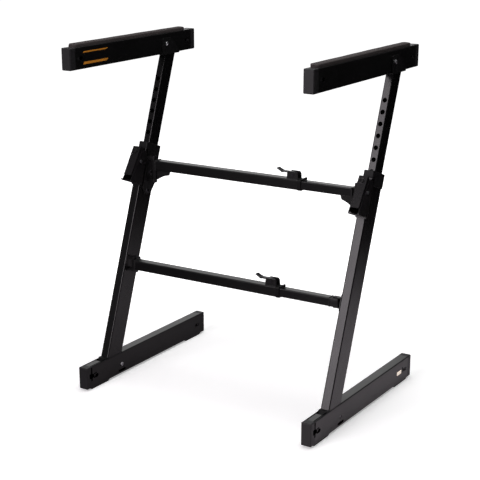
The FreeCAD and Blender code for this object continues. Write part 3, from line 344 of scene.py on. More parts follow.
# %% The finishes of this stand, by the record's slot
INK = (0.0020, 0.0018, 0.0021)
FINISHES = {
    "foot_tube": finish("foot_powder_coat", INK, 0.30, 1.1, 0.012),
    "leg_tube": finish("leg_powder_coat", INK, 0.25, 1.1, 0.008),
    "arm_tube": finish("arm_powder_coat", (0.0012, 0.0011, 0.0012), 0.34, 1.1, 0.012),
    "upright": finish("upright_powder_coat", INK, 0.25, 1.0, 0.007),
    "crossbar": finish("crossbar_powder_coat", INK, 0.34, 1.1, 0.012),
    "inner_crossbar": finish("rubbed_powder_coat", (0.0045, 0.0043, 0.005), 0.30, 1.0, 0.006),
    "bracket": finish("bracket_powder_coat", (0.003, 0.0028, 0.0032), 0.40, 1.1, 0.014),
    "latch_steel": finish("latch_powder_coat", (0.008, 0.0072, 0.0080), 0.28, 0.9, 0.008),
    "end_cap": finish("cap_nylon", (0.011, 0.0105, 0.0118), 0.52, 0.7, 0.02, fleck_amount=0.3),
    "black_plastic": finish("collar_nylon", (0.003, 0.003, 0.0033), 0.5, 0.6, 0.015,
                            sheen=0.22),
    "cam_plastic": finish("cam_nylon", (0.010, 0.010, 0.011), 0.42, 0.6, 0.012),
    "rubber_foot": finish("foot_rubber", (0.009, 0.009, 0.009), 0.75, 0.8, 0.03),
    "arm_foam": finish("arm_foam_rubber", (0.034, 0.027, 0.0265), 0.85, 1.3, 0.12,
                       fleck=(0.07, 0.055, 0.05), fleck_amount=0.5, patch=30),
    "bolt": finish("bright_zinc", (0.62, 0.62, 0.64), 0.28, 0.5, 0.004, metal=1.0,
                   fleck=(0.42, 0.42, 0.44)),
    "pin": finish("black_oxide", (0.06, 0.058, 0.064), 0.35, 0.5, 0.006, metal=1.0),
    "spring": finish("spring_steel", (0.42, 0.42, 0.44), 0.3, 0.5, 0.004, metal=1.0),
}
STRIPE_PAINT = finish("orange_stripe", (0.78, 0.30, 0.025), 0.45, 0.8, 0.004,
                      fleck=(0.6, 0.2, 0.02))
DARK_BOLT = finish("black_socket_bolt", (0.006, 0.0055, 0.006), 0.5, 0.5, 0.006, sheen=0.2)

# %% Every piece of the frame gets its finish
for part in frame["record"]["subparts"]:
    node = nodes[part["node"]]
    node.data.materials.clear()
    node.data.materials.append(FINISHES[part["material_slot"]])
print("finishes:", len(FINISHES))

# %% [markdown]
# ## Building blocks for the added pieces
#
# A finished piece keeps its place in its mesh and its object at the origin, like the frame's own
# pieces. So each helper below works in the row's frame, in metres. A piece that stands for a
# node of the frame takes that node's body and finish with it.

# %% Mesh helpers
MM = 0.001
MERGE_DISTANCE = 1e-6
SLOT_OF = {part["node"]: part["material_slot"] for part in frame["record"]["subparts"]}


def place_piece(mesh, name, like, replaced=False, material=None, smooth_angle=40):
    """Link a mesh as a piece that rides with the node it is like, and may stand for it."""
    piece = bpy.data.objects.new(name, mesh)
    bpy.context.scene.collection.objects.link(piece)
    if not mesh.materials:
        mesh.materials.append(material or FINISHES[SLOT_OF[like]])
    mesh.shade_smooth()
    mesh.set_sharp_from_angle(angle=math.radians(smooth_angle))
    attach(piece, body_of(nodes[like])[0])
    if replaced:
        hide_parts(like)
    return piece


def mesh_from(bm, name):
    bmesh.ops.remove_doubles(bm, verts=bm.verts, dist=MERGE_DISTANCE)
    bmesh.ops.recalc_face_normals(bm, faces=bm.faces)
    mesh = bpy.data.meshes.new(name)
    bm.to_mesh(mesh)
    bm.free()
    return mesh


def ring(bm, points):
    return [bm.verts.new(p) for p in points]


def bridge(bm, rings, closed_ends=True):
    """Skin a list of rings of equal length with quads, and cap both ends."""
    count = len(rings[0])
    for first, second in zip(rings, rings[1:]):
        for i in range(count):
            j = (i + 1) % count
            bm.faces.new((first[i], first[j], second[j], second[i]))
    if closed_ends:
        bm.faces.new(rings[0][::-1])
        bm.faces.new(rings[-1])


def join_meshes(meshes, name):
    """One mesh out of several, with the first one's materials."""
    bm = bmesh.new()
    for mesh in meshes:
        bm.from_mesh(mesh)
    joined = bpy.data.meshes.new(name)
    bm.to_mesh(joined)
    bm.free()
    for material in meshes[0].materials:
        joined.materials.append(material)
    return joined


def block_mesh(low, high, bevel, name):
    """A block with softened edges."""
    bm = bmesh.new()
    bmesh.ops.create_cube(bm, size=1.0)
    size = Vector(high) - Vector(low)
    centre = (Vector(high) + Vector(low)) / 2
    bmesh.ops.transform(bm, matrix=Matrix.Translation(centre) @ Matrix.Diagonal((*size, 1)),
                        verts=bm.verts)
    bmesh.ops.bevel(bm, geom=bm.edges[:], offset=bevel, segments=2, affect="EDGES", profile=0.5)
    return mesh_from(bm, name)


# %% Geometry Nodes: running a tree
def grown_mesh(tree, name, values, seed_mesh=None):
    """Run a Geometry Nodes tree with named inputs and return the result as a plain mesh."""
    holder = bpy.data.objects.new(name, seed_mesh or bpy.data.meshes.new(name + "_seed"))
    bpy.context.scene.collection.objects.link(holder)
    modifier = holder.modifiers.new("grow", "NODES")
    modifier.node_group = tree
    for item in tree.interface.items_tree:
        if item.in_out == "INPUT" and item.name in values:
            modifier[item.identifier] = values[item.name]
    graph = bpy.context.evaluated_depsgraph_get()
    mesh = bpy.data.meshes.new_from_object(holder.evaluated_get(graph))
    mesh.name = name
    holder.modifiers.remove(modifier)
    bpy.data.objects.remove(holder)
    return mesh


# %% [markdown]
# ## Foam pads on the arms
#
# A strip of closed-cell foam is glued along each arm. It is cut with a blade, so its sides are
# nearly flat, but its top crowns slightly, its long edges are soft and its ends round over. A
# ring of points around the section, swept along the arm and drawn in at both ends, gives that.

# %% Foam pads
PAD_STATIONS = 64
PAD_EDGE = 3.0 * MM
PAD_CROWN = 0.6 * MM
PAD_END = 7.0 * MM
PAD_END_WIDTH, PAD_END_HEIGHT = 0.62, 0.72
EDGE_TURNS, CROWN_STEPS = 6, 6
EDGE_OF_HEIGHT, EDGE_OF_HALF = 0.45, 0.6


def pad_section(half, height, low, y, x):
    """Points round the pad's section: flat base, soft shoulders and a slightly crowned top."""
    edge = min(PAD_EDGE, height * EDGE_OF_HEIGHT, half * EDGE_OF_HALF)
    points = [Vector((x - half, y, low)), Vector((x + half, y, low))]
    for side, turns in ((1, range(EDGE_TURNS + 1)), (-1, range(EDGE_TURNS, -1, -1))):
        for turn in turns:
            angle = math.radians(90 * turn / EDGE_TURNS)
            px = x + side * (half - edge + edge * math.cos(angle))
            pz = low + height - PAD_CROWN - edge + edge * math.sin(angle)
            points.append(Vector((px, y, pz)))
        if side == 1:
            for step in range(1, CROWN_STEPS):
                across = 1 - 2 * step / CROWN_STEPS
                points.append(Vector((x + (half - edge) * across, y,
                                      low + height - PAD_CROWN * across * across)))
    return points


# %% How a pad closes at its ends and wavers along its length
WAVER_LONG, WAVER_SHORT, WAVER_DOWN = 0.12 * MM, 0.10 * MM, 0.20 * MM
WAVER_LONG_TURNS, WAVER_SHORT_TURNS = 61, 23


def pad_closing(to_end):
    """0 at the pad's end face, rising along a quarter circle to 1 where the pad is full."""
    if to_end >= PAD_END:
        return 1.0
    return math.sqrt(max(0.0, 1 - (1 - to_end / PAD_END) ** 2))


def pad_waver(y):
    """How far the hand-glued pad's top lies above its nominal height, always a little under."""
    return (WAVER_LONG * math.sin(y * WAVER_LONG_TURNS)
            + WAVER_SHORT * math.sin(y * WAVER_SHORT_TURNS + 1) - WAVER_DOWN)


for side in SIDES:
    low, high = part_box(side + "_arm_pad")
    centre_x, half, tall = (low.x + high.x) / 2, (high.x - low.x) / 2, high.z - low.z
    bm = bmesh.new()
    rings = []
    for station in range(PAD_STATIONS + 1):
        y = low.y + (high.y - low.y) * station / PAD_STATIONS
        closing = pad_closing(min(y - low.y, high.y - y))
        squeeze = PAD_END_WIDTH + (1 - PAD_END_WIDTH) * closing
        height = tall * (PAD_END_HEIGHT + (1 - PAD_END_HEIGHT) * closing) + pad_waver(y)
        rings.append(ring(bm, pad_section(half * squeeze, height, low.z, y, centre_x)))
    bridge(bm, rings)
    pad = place_piece(mesh_from(bm, side + "_foam_pad"), side + "_foam_pad", side + "_arm_pad",
                      True, smooth_angle=60)
print("foam pads: 2")

# %% [markdown]
# ## Rubber feet with cross ribs
#
# The pads under the feet are moulded rubber with ribs across them, which grip a stage floor. A
# row of equal ribs is what Geometry Nodes are for: a mesh line places the points, one block is
# put on each, and the instances are made real because the export drops instances.


# %% Geometry Nodes: a row of blocks
def block_row_tree():
    """A node tree: equal blocks in a row. Inputs: first place, count, step, block size."""
    tree = bpy.data.node_groups.new("block_row", "GeometryNodeTree")
    socket(tree, "Start", "NodeSocketVector", "INPUT")
    socket(tree, "Count", "NodeSocketInt", "INPUT", 10)
    socket(tree, "Step", "NodeSocketVector", "INPUT")
    socket(tree, "Block Size", "NodeSocketVector", "INPUT")
    socket(tree, "Turn", "NodeSocketVector", "INPUT")
    socket(tree, "Material", "NodeSocketMaterial", "INPUT")
    socket(tree, "Geometry", "NodeSocketGeometry", "OUTPUT")
    given = tree.nodes.new("NodeGroupInput")
    result = tree.nodes.new("NodeGroupOutput")
    line = tree.nodes.new("GeometryNodeMeshLine")
    cube = tree.nodes.new("GeometryNodeMeshCube")
    puts = tree.nodes.new("GeometryNodeInstanceOnPoints")
    real = tree.nodes.new("GeometryNodeRealizeInstances")
    coat = tree.nodes.new("GeometryNodeSetMaterial")
    link = tree.links.new
    link(given.outputs["Count"], line.inputs["Count"])
    link(given.outputs["Start"], line.inputs["Start Location"])
    link(given.outputs["Step"], line.inputs["Offset"])
    link(given.outputs["Block Size"], cube.inputs["Size"])
    link(line.outputs["Mesh"], puts.inputs["Points"])
    link(cube.outputs["Mesh"], puts.inputs["Instance"])
    link(given.outputs["Turn"], puts.inputs["Rotation"])
    link(puts.outputs["Instances"], real.inputs["Geometry"])
    link(real.outputs["Geometry"], coat.inputs["Geometry"])
    link(given.outputs["Material"], coat.inputs["Material"])
    link(coat.outputs["Geometry"], result.inputs["Geometry"])
    return tree


BLOCK_ROW = block_row_tree()

# %% Rubber feet
RIB_COUNT = 11
RIB_SHARE = 0.62
SOLE_SHARE = 0.5
FOOT_PAD_LENGTH = 80 * MM
RIB_MARGIN = 3 * MM
SOLE_EDGE = 0.6 * MM

for side in SIDES:
    low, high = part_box(side + "_foot_pads")
    rubber = FINISHES["rubber_foot"]
    soles = []
    for start in (low.y, high.y - FOOT_PAD_LENGTH):
        sole_low = high.z - (high.z - low.z) * SOLE_SHARE
        sole = block_mesh((low.x, start, sole_low), (high.x, start + FOOT_PAD_LENGTH, high.z),
                          SOLE_EDGE, "sole")
        sole.materials.append(rubber)
        step = (FOOT_PAD_LENGTH - 2 * RIB_MARGIN) / RIB_COUNT
        rib_top = sole_low + SOLE_EDGE
        ribs = grown_mesh(BLOCK_ROW, "ribs", {
            "Start": ((low.x + high.x) / 2, start + RIB_MARGIN + step / 2, (low.z + rib_top) / 2),
            "Count": RIB_COUNT, "Step": (0, step, 0), "Turn": (0, 0, 0),
            "Block Size": (high.x - low.x - 2 * SOLE_EDGE, step * RIB_SHARE, rib_top - low.z),
            "Material": rubber})
        soles += [sole, ribs]
    name = side + "_ribbed_feet"
    place_piece(join_meshes(soles, name), name, side + "_foot_pads", True, smooth_angle=30)
print("ribs per rubber foot:", RIB_COUNT)

# %% [markdown]
# ## Catches of the end caps
#
# Each cap snaps into its foot with a moulded catch. Where cap and tube meet, in the catch's mouth
# across that gap and round the hook beyond it, there is only shade, painted as near-black patches.
# The shade inside the leg's socket is painted as a dark line along the tube's edge. The right foot's
# rear catch is pale nylon with a painted glow that stands in for its highlight. Each of these is
# only a few millimetres large, so thin patches on the tube's flanks are enough.

# %% Finishes of the catches: painted shade and a painted glow
# Near-black painted shade, for the gaps and slots round the catches and along the leg sockets.
SHADOW = finish("gap_shadow", (0.0006, 0.0006, 0.0006), 0.9, 0.6, 0.01, sheen=0.0)
NYLON_AND_PAINTED_GLOW = finish("nylon_and_painted_glow", (0.85, 0.76, 0.64), 0.5, 0.6, 0.01,
                       fleck=(0.6, 0.5, 0.4))
# The nylon's glow is painted light: an emission that stands in for the catch's highlight.
NYLON_PAINTED_GLOW, NYLON_PAINTED_GLOW_STRENGTH = (1.0, 0.86, 0.72, 1), 0.55
painted_glow = NYLON_AND_PAINTED_GLOW.node_tree.nodes["Principled BSDF"]
painted_glow.inputs["Emission Color"].default_value = NYLON_PAINTED_GLOW
painted_glow.inputs["Emission Strength"].default_value = NYLON_PAINTED_GLOW_STRENGTH

# %% Catches, as painted shade and a painted highlight
PROUD = 0.25 * MM
PATCH_EDGE = 0.1 * MM
# each patch is (from, to) behind the cap's gap, then (low, high) above the tube's underside, in mm
# GAP_PATCH, MOUTH_PATCH, HOOK_PATCHES and REAR_SLIT are painted shade in the cap's gap and the
# catch's slots.
GAP_PATCH = ((-2.6, 2.4), (19, 57))
MOUTH_PATCH = ((-9, 3), (27, 40))
HOOK_PATCHES = (((3, 9), (28, 38)), ((9, 21), (36, 39)), ((9, 24), (25, 28.5)))
REAR_CATCH, REAR_SLIT = ((454, 480), (25, 35)), ((485, 489), (26, 40))


def patches_on(side, name, patches, material):
    """Thin patches on both flanks of a foot, as one piece."""
    low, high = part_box(side + "_foot_tube")
    meshes = []
    for (start, end), (bottom, top) in patches:
        for flank in (high.x, low.x):
            meshes.append(block_mesh(
                (flank - PROUD, low.y + start * MM, low.z + bottom * MM),
                (flank + PROUD, low.y + end * MM, low.z + top * MM), PATCH_EDGE, name))
    meshes[0].materials.append(material)
    place_piece(join_meshes(meshes, name), name, side + "_foot_tube")


# %% Painted shade along the leg sockets
SHADE_LINE_LENGTH = 118 * MM
SHADE_LINE_INSET, SHADE_LINE_WIDTH = 3.2 * MM, 2.4 * MM


def socket_shade_lines(side):
    """Painted shade: dark lines on top of a foot, along both edges of the leg's socket."""
    low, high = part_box(side + "_foot_tube")
    name = side + "_socket_rim"
    rims = []
    for x in (high.x - SHADE_LINE_INSET - SHADE_LINE_WIDTH, low.x + SHADE_LINE_INSET):
        rims.append(block_mesh((x, low.y, high.z - PROUD),
                               (x + SHADE_LINE_WIDTH, low.y + SHADE_LINE_LENGTH, high.z + PROUD),
                               PATCH_EDGE, name))
    rims[0].materials.append(SHADOW)
    place_piece(join_meshes(rims, name), name, side + "_foot_tube")


# %% Painted shade at the catches and sockets, and the rear catch's painted glow
for side in SIDES:
    patches_on(side, side + "_front_catch", (GAP_PATCH, MOUTH_PATCH, *HOOK_PATCHES), SHADOW)
    socket_shade_lines(side)
patches_on("right", "right_rear_catch", (REAR_CATCH,), NYLON_AND_PAINTED_GLOW)
patches_on("right", "right_rear_slit", (REAR_SLIT,), SHADOW)
print("catches: 3, socket rims: 2")

# %% [markdown]
# ## Turned pieces: bolts and screws
#
# A bolt is a stack of rings round one axis. Where the ring is a hexagon instead of a circle the
# stack gets a hex socket or a nut, so one list of stations describes a whole screw: from the
# floor of its socket out over the head and down the shank to the tip.

# %% Rings round an axis
RING_POINTS = 48


def ring_radius(radius, hexagon, angle):
    """Distance from the axis to a circle, or to a hexagon whose flats are at that radius."""
    if not hexagon:
        return radius
    corner = math.pi / 3
    return radius / math.cos(angle % corner - corner / 2)


def turned(bm, origin, axis, stations):
    """Skin stations of (distance along the axis, radius, is it a hexagon), in millimetres."""
    axis = Vector(axis).normalized()
    across = axis.orthogonal().normalized()
    up = axis.cross(across)
    rings = []
    for along, radius, hexagon in stations:
        points = []
        for i in range(RING_POINTS):
            angle = 2 * math.pi * i / RING_POINTS
            reach = ring_radius(radius, hexagon, angle) * MM
            points.append(Vector(origin) + axis * along * MM
                          + (across * math.cos(angle) + up * math.sin(angle)) * reach)
        rings.append(ring(bm, points))
    bridge(bm, rings)


HEAD_EDGE = 0.8
RIM_OF_KEY = 1.25           # the flat rim round the hex socket, as a share of the key
DOME_SHOULDER = 0.35        # what is left of the dome's height at its shoulder
SHOULDER_INSET, EDGE_INSET = 1.6, 0.4


def socket_head(radius, height, key, depth, dome=0.0):
    """Stations of a head, from its socket's floor out to its rim at the underside (0)."""
    edge = min(HEAD_EDGE, height / 3)
    top = height + dome
    return [(top - depth, key / 2, True), (top, key / 2, True), (top, key / 2 * RIM_OF_KEY, False),
            (height + dome * DOME_SHOULDER, radius - edge * SHOULDER_INSET, False),
            (height - edge * EDGE_INSET, radius - edge * EDGE_INSET, False),
            (height - edge, radius, False), (0, radius, False)]


# %% The leg's own directions
END_DEPTH = 0.05 * MM


def mesh_points(node):
    return [vertex.co for vertex in nodes[node].data.vertices]


def far_end(node, axis):
    """Middle and reach of a node's vertices that lie furthest along an axis."""
    points = mesh_points(node)
    reach = max(point.dot(axis) for point in points)
    last = [point for point in points if point.dot(axis) > reach - END_DEPTH]
    return sum(last, Vector()) / len(last), reach


slide = next(joint for joint in frame["record"]["behaviour"]["joints"]
             if joint["name"] == "left_height")
LEG_UP = Vector(slide["axis"]).normalized()
LEG_OUT = Vector((0, -LEG_UP.z, LEG_UP.y))
print("the legs lean back", round(math.degrees(math.asin(LEG_UP.y)), 2), "degrees")

# %% Lock bolts
BOLT_RADIUS, BOLT_TIP_RADIUS, BOLT_TAPER = 4.5, 2.7, 2.0
BOLT_HEAD, BOLT_HEAD_TALL = 6.0, 2.6
BOLT_KEY, BOLT_KEY_DEPTH = 5.6, 2.2

for side in SIDES:
    node = side + "_lock_bolt"
    head, top = far_end(node, LEG_OUT)
    seat = head - LEG_OUT * BOLT_HEAD_TALL * MM
    length = (top - min(point.dot(LEG_OUT) for point in mesh_points(node))) / MM - BOLT_HEAD_TALL
    bm = bmesh.new()
    turned(bm, seat, LEG_OUT, socket_head(BOLT_HEAD, BOLT_HEAD_TALL, BOLT_KEY, BOLT_KEY_DEPTH) + [
        (0, BOLT_RADIUS, False), (BOLT_TAPER - length, BOLT_RADIUS, False),
        (-length, BOLT_TIP_RADIUS, False)])
    name = side + "_socket_bolt"
    place_piece(mesh_from(bm, name), name, node, True, DARK_BOLT)

# %% Cross bolts of arms and feet
CROSS_RADIUS, CROSS_HEAD, CROSS_DOME = 4.0, 5.5, 0.6
CROSS_TALL = 2.5            # head and dome together
CROSS_KEY, CROSS_KEY_DEPTH = 5.0, 1.8
NUT_FLAT, NUT_CHAMFER, NUT_CHAMFER_LONG = 0.86, 0.78, 0.5

for side, inward in (("left", 1), ("right", -1)):
    axis = Vector((inward, 0, 0))
    for place in ("foot", "arm"):
        node = side + "_" + place + "_bolt"
        low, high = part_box(node)
        head = Vector((high.x if inward > 0 else low.x, (low.y + high.y) / 2, (low.z + high.z) / 2))
        seat = head - axis * CROSS_TALL * MM
        length = (high.x - low.x) / MM - CROSS_TALL
        stations = socket_head(CROSS_HEAD, CROSS_TALL - CROSS_DOME, CROSS_KEY, CROSS_KEY_DEPTH,
                               CROSS_DOME)
        stations.append((0, CROSS_RADIUS, False))
        if place == "arm":
            nut = CROSS_TALL - length
            stations += [(nut, CROSS_RADIUS, False), (nut, CROSS_HEAD * NUT_FLAT, True),
                         (NUT_CHAMFER_LONG - length, CROSS_HEAD * NUT_FLAT, True),
                         (-length, CROSS_HEAD * NUT_CHAMFER, True)]
        else:
            stations.append((-length, CROSS_RADIUS, False))
        bm = bmesh.new()
        turned(bm, seat, axis, stations)
        name = node + "_turned"
        place_piece(mesh_from(bm, name), name, node, True)
print("socket bolts: 6")

# %% [markdown]
# ## Screws of the hinge plates
#
# Each hinge plate is held by two equal screws, so one screw is modelled and Geometry Nodes put a
# copy at each place. The places come from the frame: the vertices of the plain screws fall into
# four groups by height, and each group's middle is one screw.


# %% Geometry Nodes: copies of one object
def copies_tree():
    """A node tree: one object on every vertex of the seed mesh, turned alike."""
    tree = bpy.data.node_groups.new("copies", "GeometryNodeTree")
    socket(tree, "Geometry", "NodeSocketGeometry", "INPUT")
    socket(tree, "Copied", "NodeSocketObject", "INPUT")
    socket(tree, "Turn", "NodeSocketVector", "INPUT")
    socket(tree, "Material", "NodeSocketMaterial", "INPUT")
    socket(tree, "Geometry", "NodeSocketGeometry", "OUTPUT")
    given = tree.nodes.new("NodeGroupInput")
    result = tree.nodes.new("NodeGroupOutput")
    thing = tree.nodes.new("GeometryNodeObjectInfo")
    puts = tree.nodes.new("GeometryNodeInstanceOnPoints")
    real = tree.nodes.new("GeometryNodeRealizeInstances")
    coat = tree.nodes.new("GeometryNodeSetMaterial")
    link = tree.links.new
    link(given.outputs["Copied"], thing.inputs["Object"])
    link(given.outputs["Geometry"], puts.inputs["Points"])
    link(thing.outputs["Geometry"], puts.inputs["Instance"])
    link(given.outputs["Turn"], puts.inputs["Rotation"])
    link(puts.outputs["Instances"], real.inputs["Geometry"])
    link(real.outputs["Geometry"], coat.inputs["Geometry"])
    link(given.outputs["Material"], coat.inputs["Material"])
    link(coat.outputs["Geometry"], result.inputs["Geometry"])
    return tree


COPIES = copies_tree()

# %% Hinge screws
SCREW_HEAD, SCREW_SHANK, SCREW_TALL = 6.0, 3.0, 2.5
SCREW_DOME = 0.5
SCREW_KEY, SCREW_KEY_DEPTH = 4.0, 1.6
GROUP_GAP = 4 * MM


def groups_by_height(points):
    """Split points into groups wherever there is a gap in height."""
    points = sorted(points, key=lambda point: point.z)
    groups = [[points[0]]]
    for point in points[1:]:
        if point.z - groups[-1][-1].z > GROUP_GAP:
            groups.append([])
        groups[-1].append(point)
    return groups


for side, inward in (("left", 1), ("right", -1)):
    node = side + "_hinge_screws"
    low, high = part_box(node)
    face = (high.x if inward > 0 else low.x) - inward * SCREW_TALL * MM
    places = []
    for group in groups_by_height(mesh_points(node)):
        heights, depths = [p.z for p in group], [p.y for p in group]
        places.append((face, (min(depths) + max(depths)) / 2, (min(heights) + max(heights)) / 2))
    bm = bmesh.new()
    length = (high.x - low.x) / MM - SCREW_TALL
    turned(bm, (0, 0, 0), (1, 0, 0),
           socket_head(SCREW_HEAD, SCREW_TALL - SCREW_DOME, SCREW_KEY, SCREW_KEY_DEPTH, SCREW_DOME)
           + [(0, SCREW_SHANK, False), (-length, SCREW_SHANK, False)])
    screw = bpy.data.objects.new("one_screw", mesh_from(bm, "one_screw"))
    bpy.context.scene.collection.objects.link(screw)
    seeds = bpy.data.meshes.new("screw_places")
    seeds.from_pydata(places, [], [])
    name = side + "_socket_screws"
    mesh = grown_mesh(COPIES, name, {
        "Copied": screw, "Turn": (0, 0, 0 if inward > 0 else math.pi),
        "Material": FINISHES[SLOT_OF[node]]}, seeds)
    bpy.data.objects.remove(screw)
    place_piece(mesh, name, node, True)
    print(name, len(places))

# %% [markdown]
# ## The slim hinge at the lower right
#
# In the photograph the thin inner bar runs right up to the leg, so its hinge is no thicker than
# the bar itself. The bar ends in a block of its own section with the pin through it, and two
# straps bent off the plate hold the pin. The block's corners just clear the plate as it swings.
# A boolean could drill the hole, but a skin that goes up the outside and down the hole gives a
# cleaner mesh, and the same function makes the straps.

# %% Blocks with a pin hole
HINGE_PIN_RADIUS, PIN_SLACK = 4.0, 0.2


def holed_block(bm, axis, reach_at, levels, corners):
    """A block round an upright pin hole, whose outline is a distance for each angle.

    levels are (height, inset) pairs from the bottom up, corners extra angles to catch.
    """
    angles = sorted({round(2 * math.pi * i / RING_POINTS, 5) for i in range(RING_POINTS)}
                    | {round(angle % (2 * math.pi), 5) for angle in corners})
    spokes = [Vector((math.cos(angle), math.sin(angle), 0)) for angle in angles]
    rings = []
    for height, inset in levels:
        middle = Vector((axis.x, axis.y, height))
        rings.append(ring(bm, [middle + spoke * (reach_at(angle) - inset)
                               for angle, spoke in zip(angles, spokes)]))
    hole = (HINGE_PIN_RADIUS + PIN_SLACK) * MM
    for height in (levels[-1][0], levels[0][0]):
        middle = Vector((axis.x, axis.y, height))
        rings.append(ring(bm, [middle + spoke * hole for spoke in spokes]))
    bridge(bm, rings + rings[:1], closed_ends=False)


def box_reach(angle, ahead, behind, half):
    """Distance from the axis to a box that reaches ahead (+x), behind (-x) and half across."""
    along, across = math.cos(angle), abs(math.sin(angle))
    side = half / max(across, 1e-6)
    end = (ahead if along > 0 else behind) / max(abs(along), 1e-6)
    return min(side, end)


# %% Where the lower right hinge is
STRAP_HALF = 7.0 * MM
STRAP_GAP, STRAP_THICK = 0.4 * MM, 2.0 * MM
bar_low, bar_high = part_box("lower_inner_bar")
half_bar = (bar_high.y - bar_low.y) / 2
pivot = Vector((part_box("lower_inner_bar_hinge")[1].x - STRAP_HALF, (bar_low.y + bar_high.y) / 2,
                (bar_low.z + bar_high.z) / 2))
print("lower right pivot:", [round(value, 4) for value in pivot])

# %% The bar's end
SLIM_REACH, SLIM_TAIL = 12.0 * MM, 14.0 * MM
BAR_ROUNDING = 1.6 * MM
ROUNDING_STEP = 0.48 * MM

bm = bmesh.new()
front_corner = math.atan2(half_bar, SLIM_REACH)
tail_corner = math.atan2(half_bar, -SLIM_TAIL)
holed_block(bm, pivot, lambda angle: box_reach(angle, SLIM_REACH, SLIM_TAIL, half_bar),
            [(bar_low.z, BAR_ROUNDING), (bar_low.z + ROUNDING_STEP, ROUNDING_STEP),
             (bar_low.z + BAR_ROUNDING, 0), (bar_high.z - BAR_ROUNDING, 0),
             (bar_high.z - ROUNDING_STEP, ROUNDING_STEP), (bar_high.z, BAR_ROUNDING)],
            (front_corner, -front_corner, tail_corner, -tail_corner))
place_piece(mesh_from(bm, "lower_slim_bar_end"), "lower_slim_bar_end", "lower_inner_bar_hinge", True)

# %% Straps and plate
PLATE_SHEET = 3.0 * MM
PLATE_SETBACK = 6.0 * MM
PLATE_ROUNDING = 5.0 * MM
STRAP_SINK = 0.3 * MM
FACE_DEPTH = 0.01 * MM

plate_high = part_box("right_lower_hinge_plate")[1]
plate_face = plate_high.x - PLATE_SHEET
strap_root = plate_face - pivot.x + STRAP_SINK
strap_corner = math.atan2(STRAP_HALF, strap_root)


def strap_reach(angle):
    """A strap's outline: round at its nose, straight to the plate."""
    if math.cos(angle) < 0:
        return STRAP_HALF
    return box_reach(angle, strap_root, STRAP_HALF, STRAP_HALF)


bm = bmesh.new()
for low in (bar_low.z - STRAP_GAP - STRAP_THICK, bar_high.z + STRAP_GAP):
    holed_block(bm, pivot, strap_reach, [(low, 0), (low + STRAP_THICK, 0)],
                (strap_corner, -strap_corner))
flat = [p for p in mesh_points("right_lower_hinge_plate") if p.x > plate_high.x - FACE_DEPTH]
ups, outs = [p.dot(LEG_UP) for p in flat], [p.dot(LEG_OUT) for p in flat]
front, rear = max(outs) - PLATE_SETBACK, min(outs)
outline = [(front, max(ups)), (rear, max(ups)), (rear, min(ups)), (front, min(ups))]
sheets = [ring(bm, [LEG_OUT * out + LEG_UP * up + Vector((x, 0, 0)) for out, up in outline])
          for x in (plate_face, plate_high.x)]
bridge(bm, sheets)
corners = [bm.edges.get(pair) for pair in zip(*sheets)]
bmesh.ops.bevel(bm, geom=corners, offset=PLATE_ROUNDING, segments=5, affect="EDGES", profile=0.5)
name = "right_lower_strap_hinge"
place_piece(mesh_from(bm, name), name, "right_lower_hinge_plate", True)

# %% Pins of the right side
PIN_HEAD_THICK = 1.0 * MM
PIN_HEAD, PIN_HEAD_TOP, PIN_CLIP = 1.4, 1.2, 1.3    # radii, as shares of the pin's

reach = (half_bar + STRAP_GAP + STRAP_THICK) / MM
tip = reach + PIN_HEAD_THICK / MM
bm = bmesh.new()
bm.from_mesh(nodes["right_hinge_pins"].data)
lower_pin = [vertex for vertex in bm.verts if vertex.co.z < plate_high.z]
bmesh.ops.delete(bm, geom=lower_pin, context="VERTS")
turned(bm, pivot, (0, 0, 1), [(along, HINGE_PIN_RADIUS * share, False) for along, share in (
    (-tip, PIN_CLIP), (-reach, PIN_CLIP), (-reach, 1), (reach, 1), (reach, PIN_HEAD),
    (tip, PIN_HEAD_TOP))])
place_piece(mesh_from(bm, "right_turned_pins"), "right_turned_pins", "right_hinge_pins", True)
print("slim hinge: 3 pieces")

# %% [markdown]
# ## Cam levers
#
# The clamp's lever is moulded: an eccentric cam between the ears, a flat neck and a paddle that
# rises so that a finger gets under it. Its side outline is drawn once, pushed out to the lever's
# width, and every edge is rounded. Small ribs across the paddle give grip.

# %% The cam lever's outline, as (x, z) in millimetres from its pin
CAM_RADIUS, CAM_DROP = 8.0, 2.7
CAM_START, CAM_END, CAM_STEP = 66, -196, -12      # degrees round the cam
NECK_UNDERSIDE = [(-9.0, 3.4), (-27.0, 3.4), (-30.0, 2.7)]
PADDLE_UNDER_ROOT, PADDLE_UNDER_TIP = (-33.0, 2.4), (-46.6, 9.8)
NOSE = [(-47.6, 10.8), (-47.7, 12.2)]
PADDLE_TIP, PADDLE_ROOT = (-47.0, 13.4), (-30.0, 6.4)
NECK_TOPSIDE = [(-20.0, 6.2), (-9.0, 6.6), (-5.0, 7.4), (-2.7, 7.8), (0.0, 6.9)]
PADDLE_BOW, BOW_STEPS = 0.5, 6


def bowed(start, end, bow):
    """Points from start to end on a line that bows upwards in the middle, start included."""
    points = []
    for step in range(BOW_STEPS + 1):
        part = step / BOW_STEPS
        points.append((start[0] + (end[0] - start[0]) * part,
                       start[1] + (end[1] - start[1]) * part + bow * math.sin(math.pi * part)))
    return points


def lever_outline():
    """Once round the lever's side: cam, neck, paddle, nose and back along the top."""
    cam = []
    for angle in range(CAM_START, CAM_END, CAM_STEP):
        turn = math.radians(angle)
        cam.append((CAM_RADIUS * math.cos(turn), CAM_RADIUS * math.sin(turn) - CAM_DROP))
    return (cam + NECK_UNDERSIDE + bowed(PADDLE_UNDER_ROOT, PADDLE_UNDER_TIP, PADDLE_BOW)
            + NOSE + bowed(PADDLE_TIP, PADDLE_ROOT, -PADDLE_BOW) + NECK_TOPSIDE)


print("outline points:", len(lever_outline()))

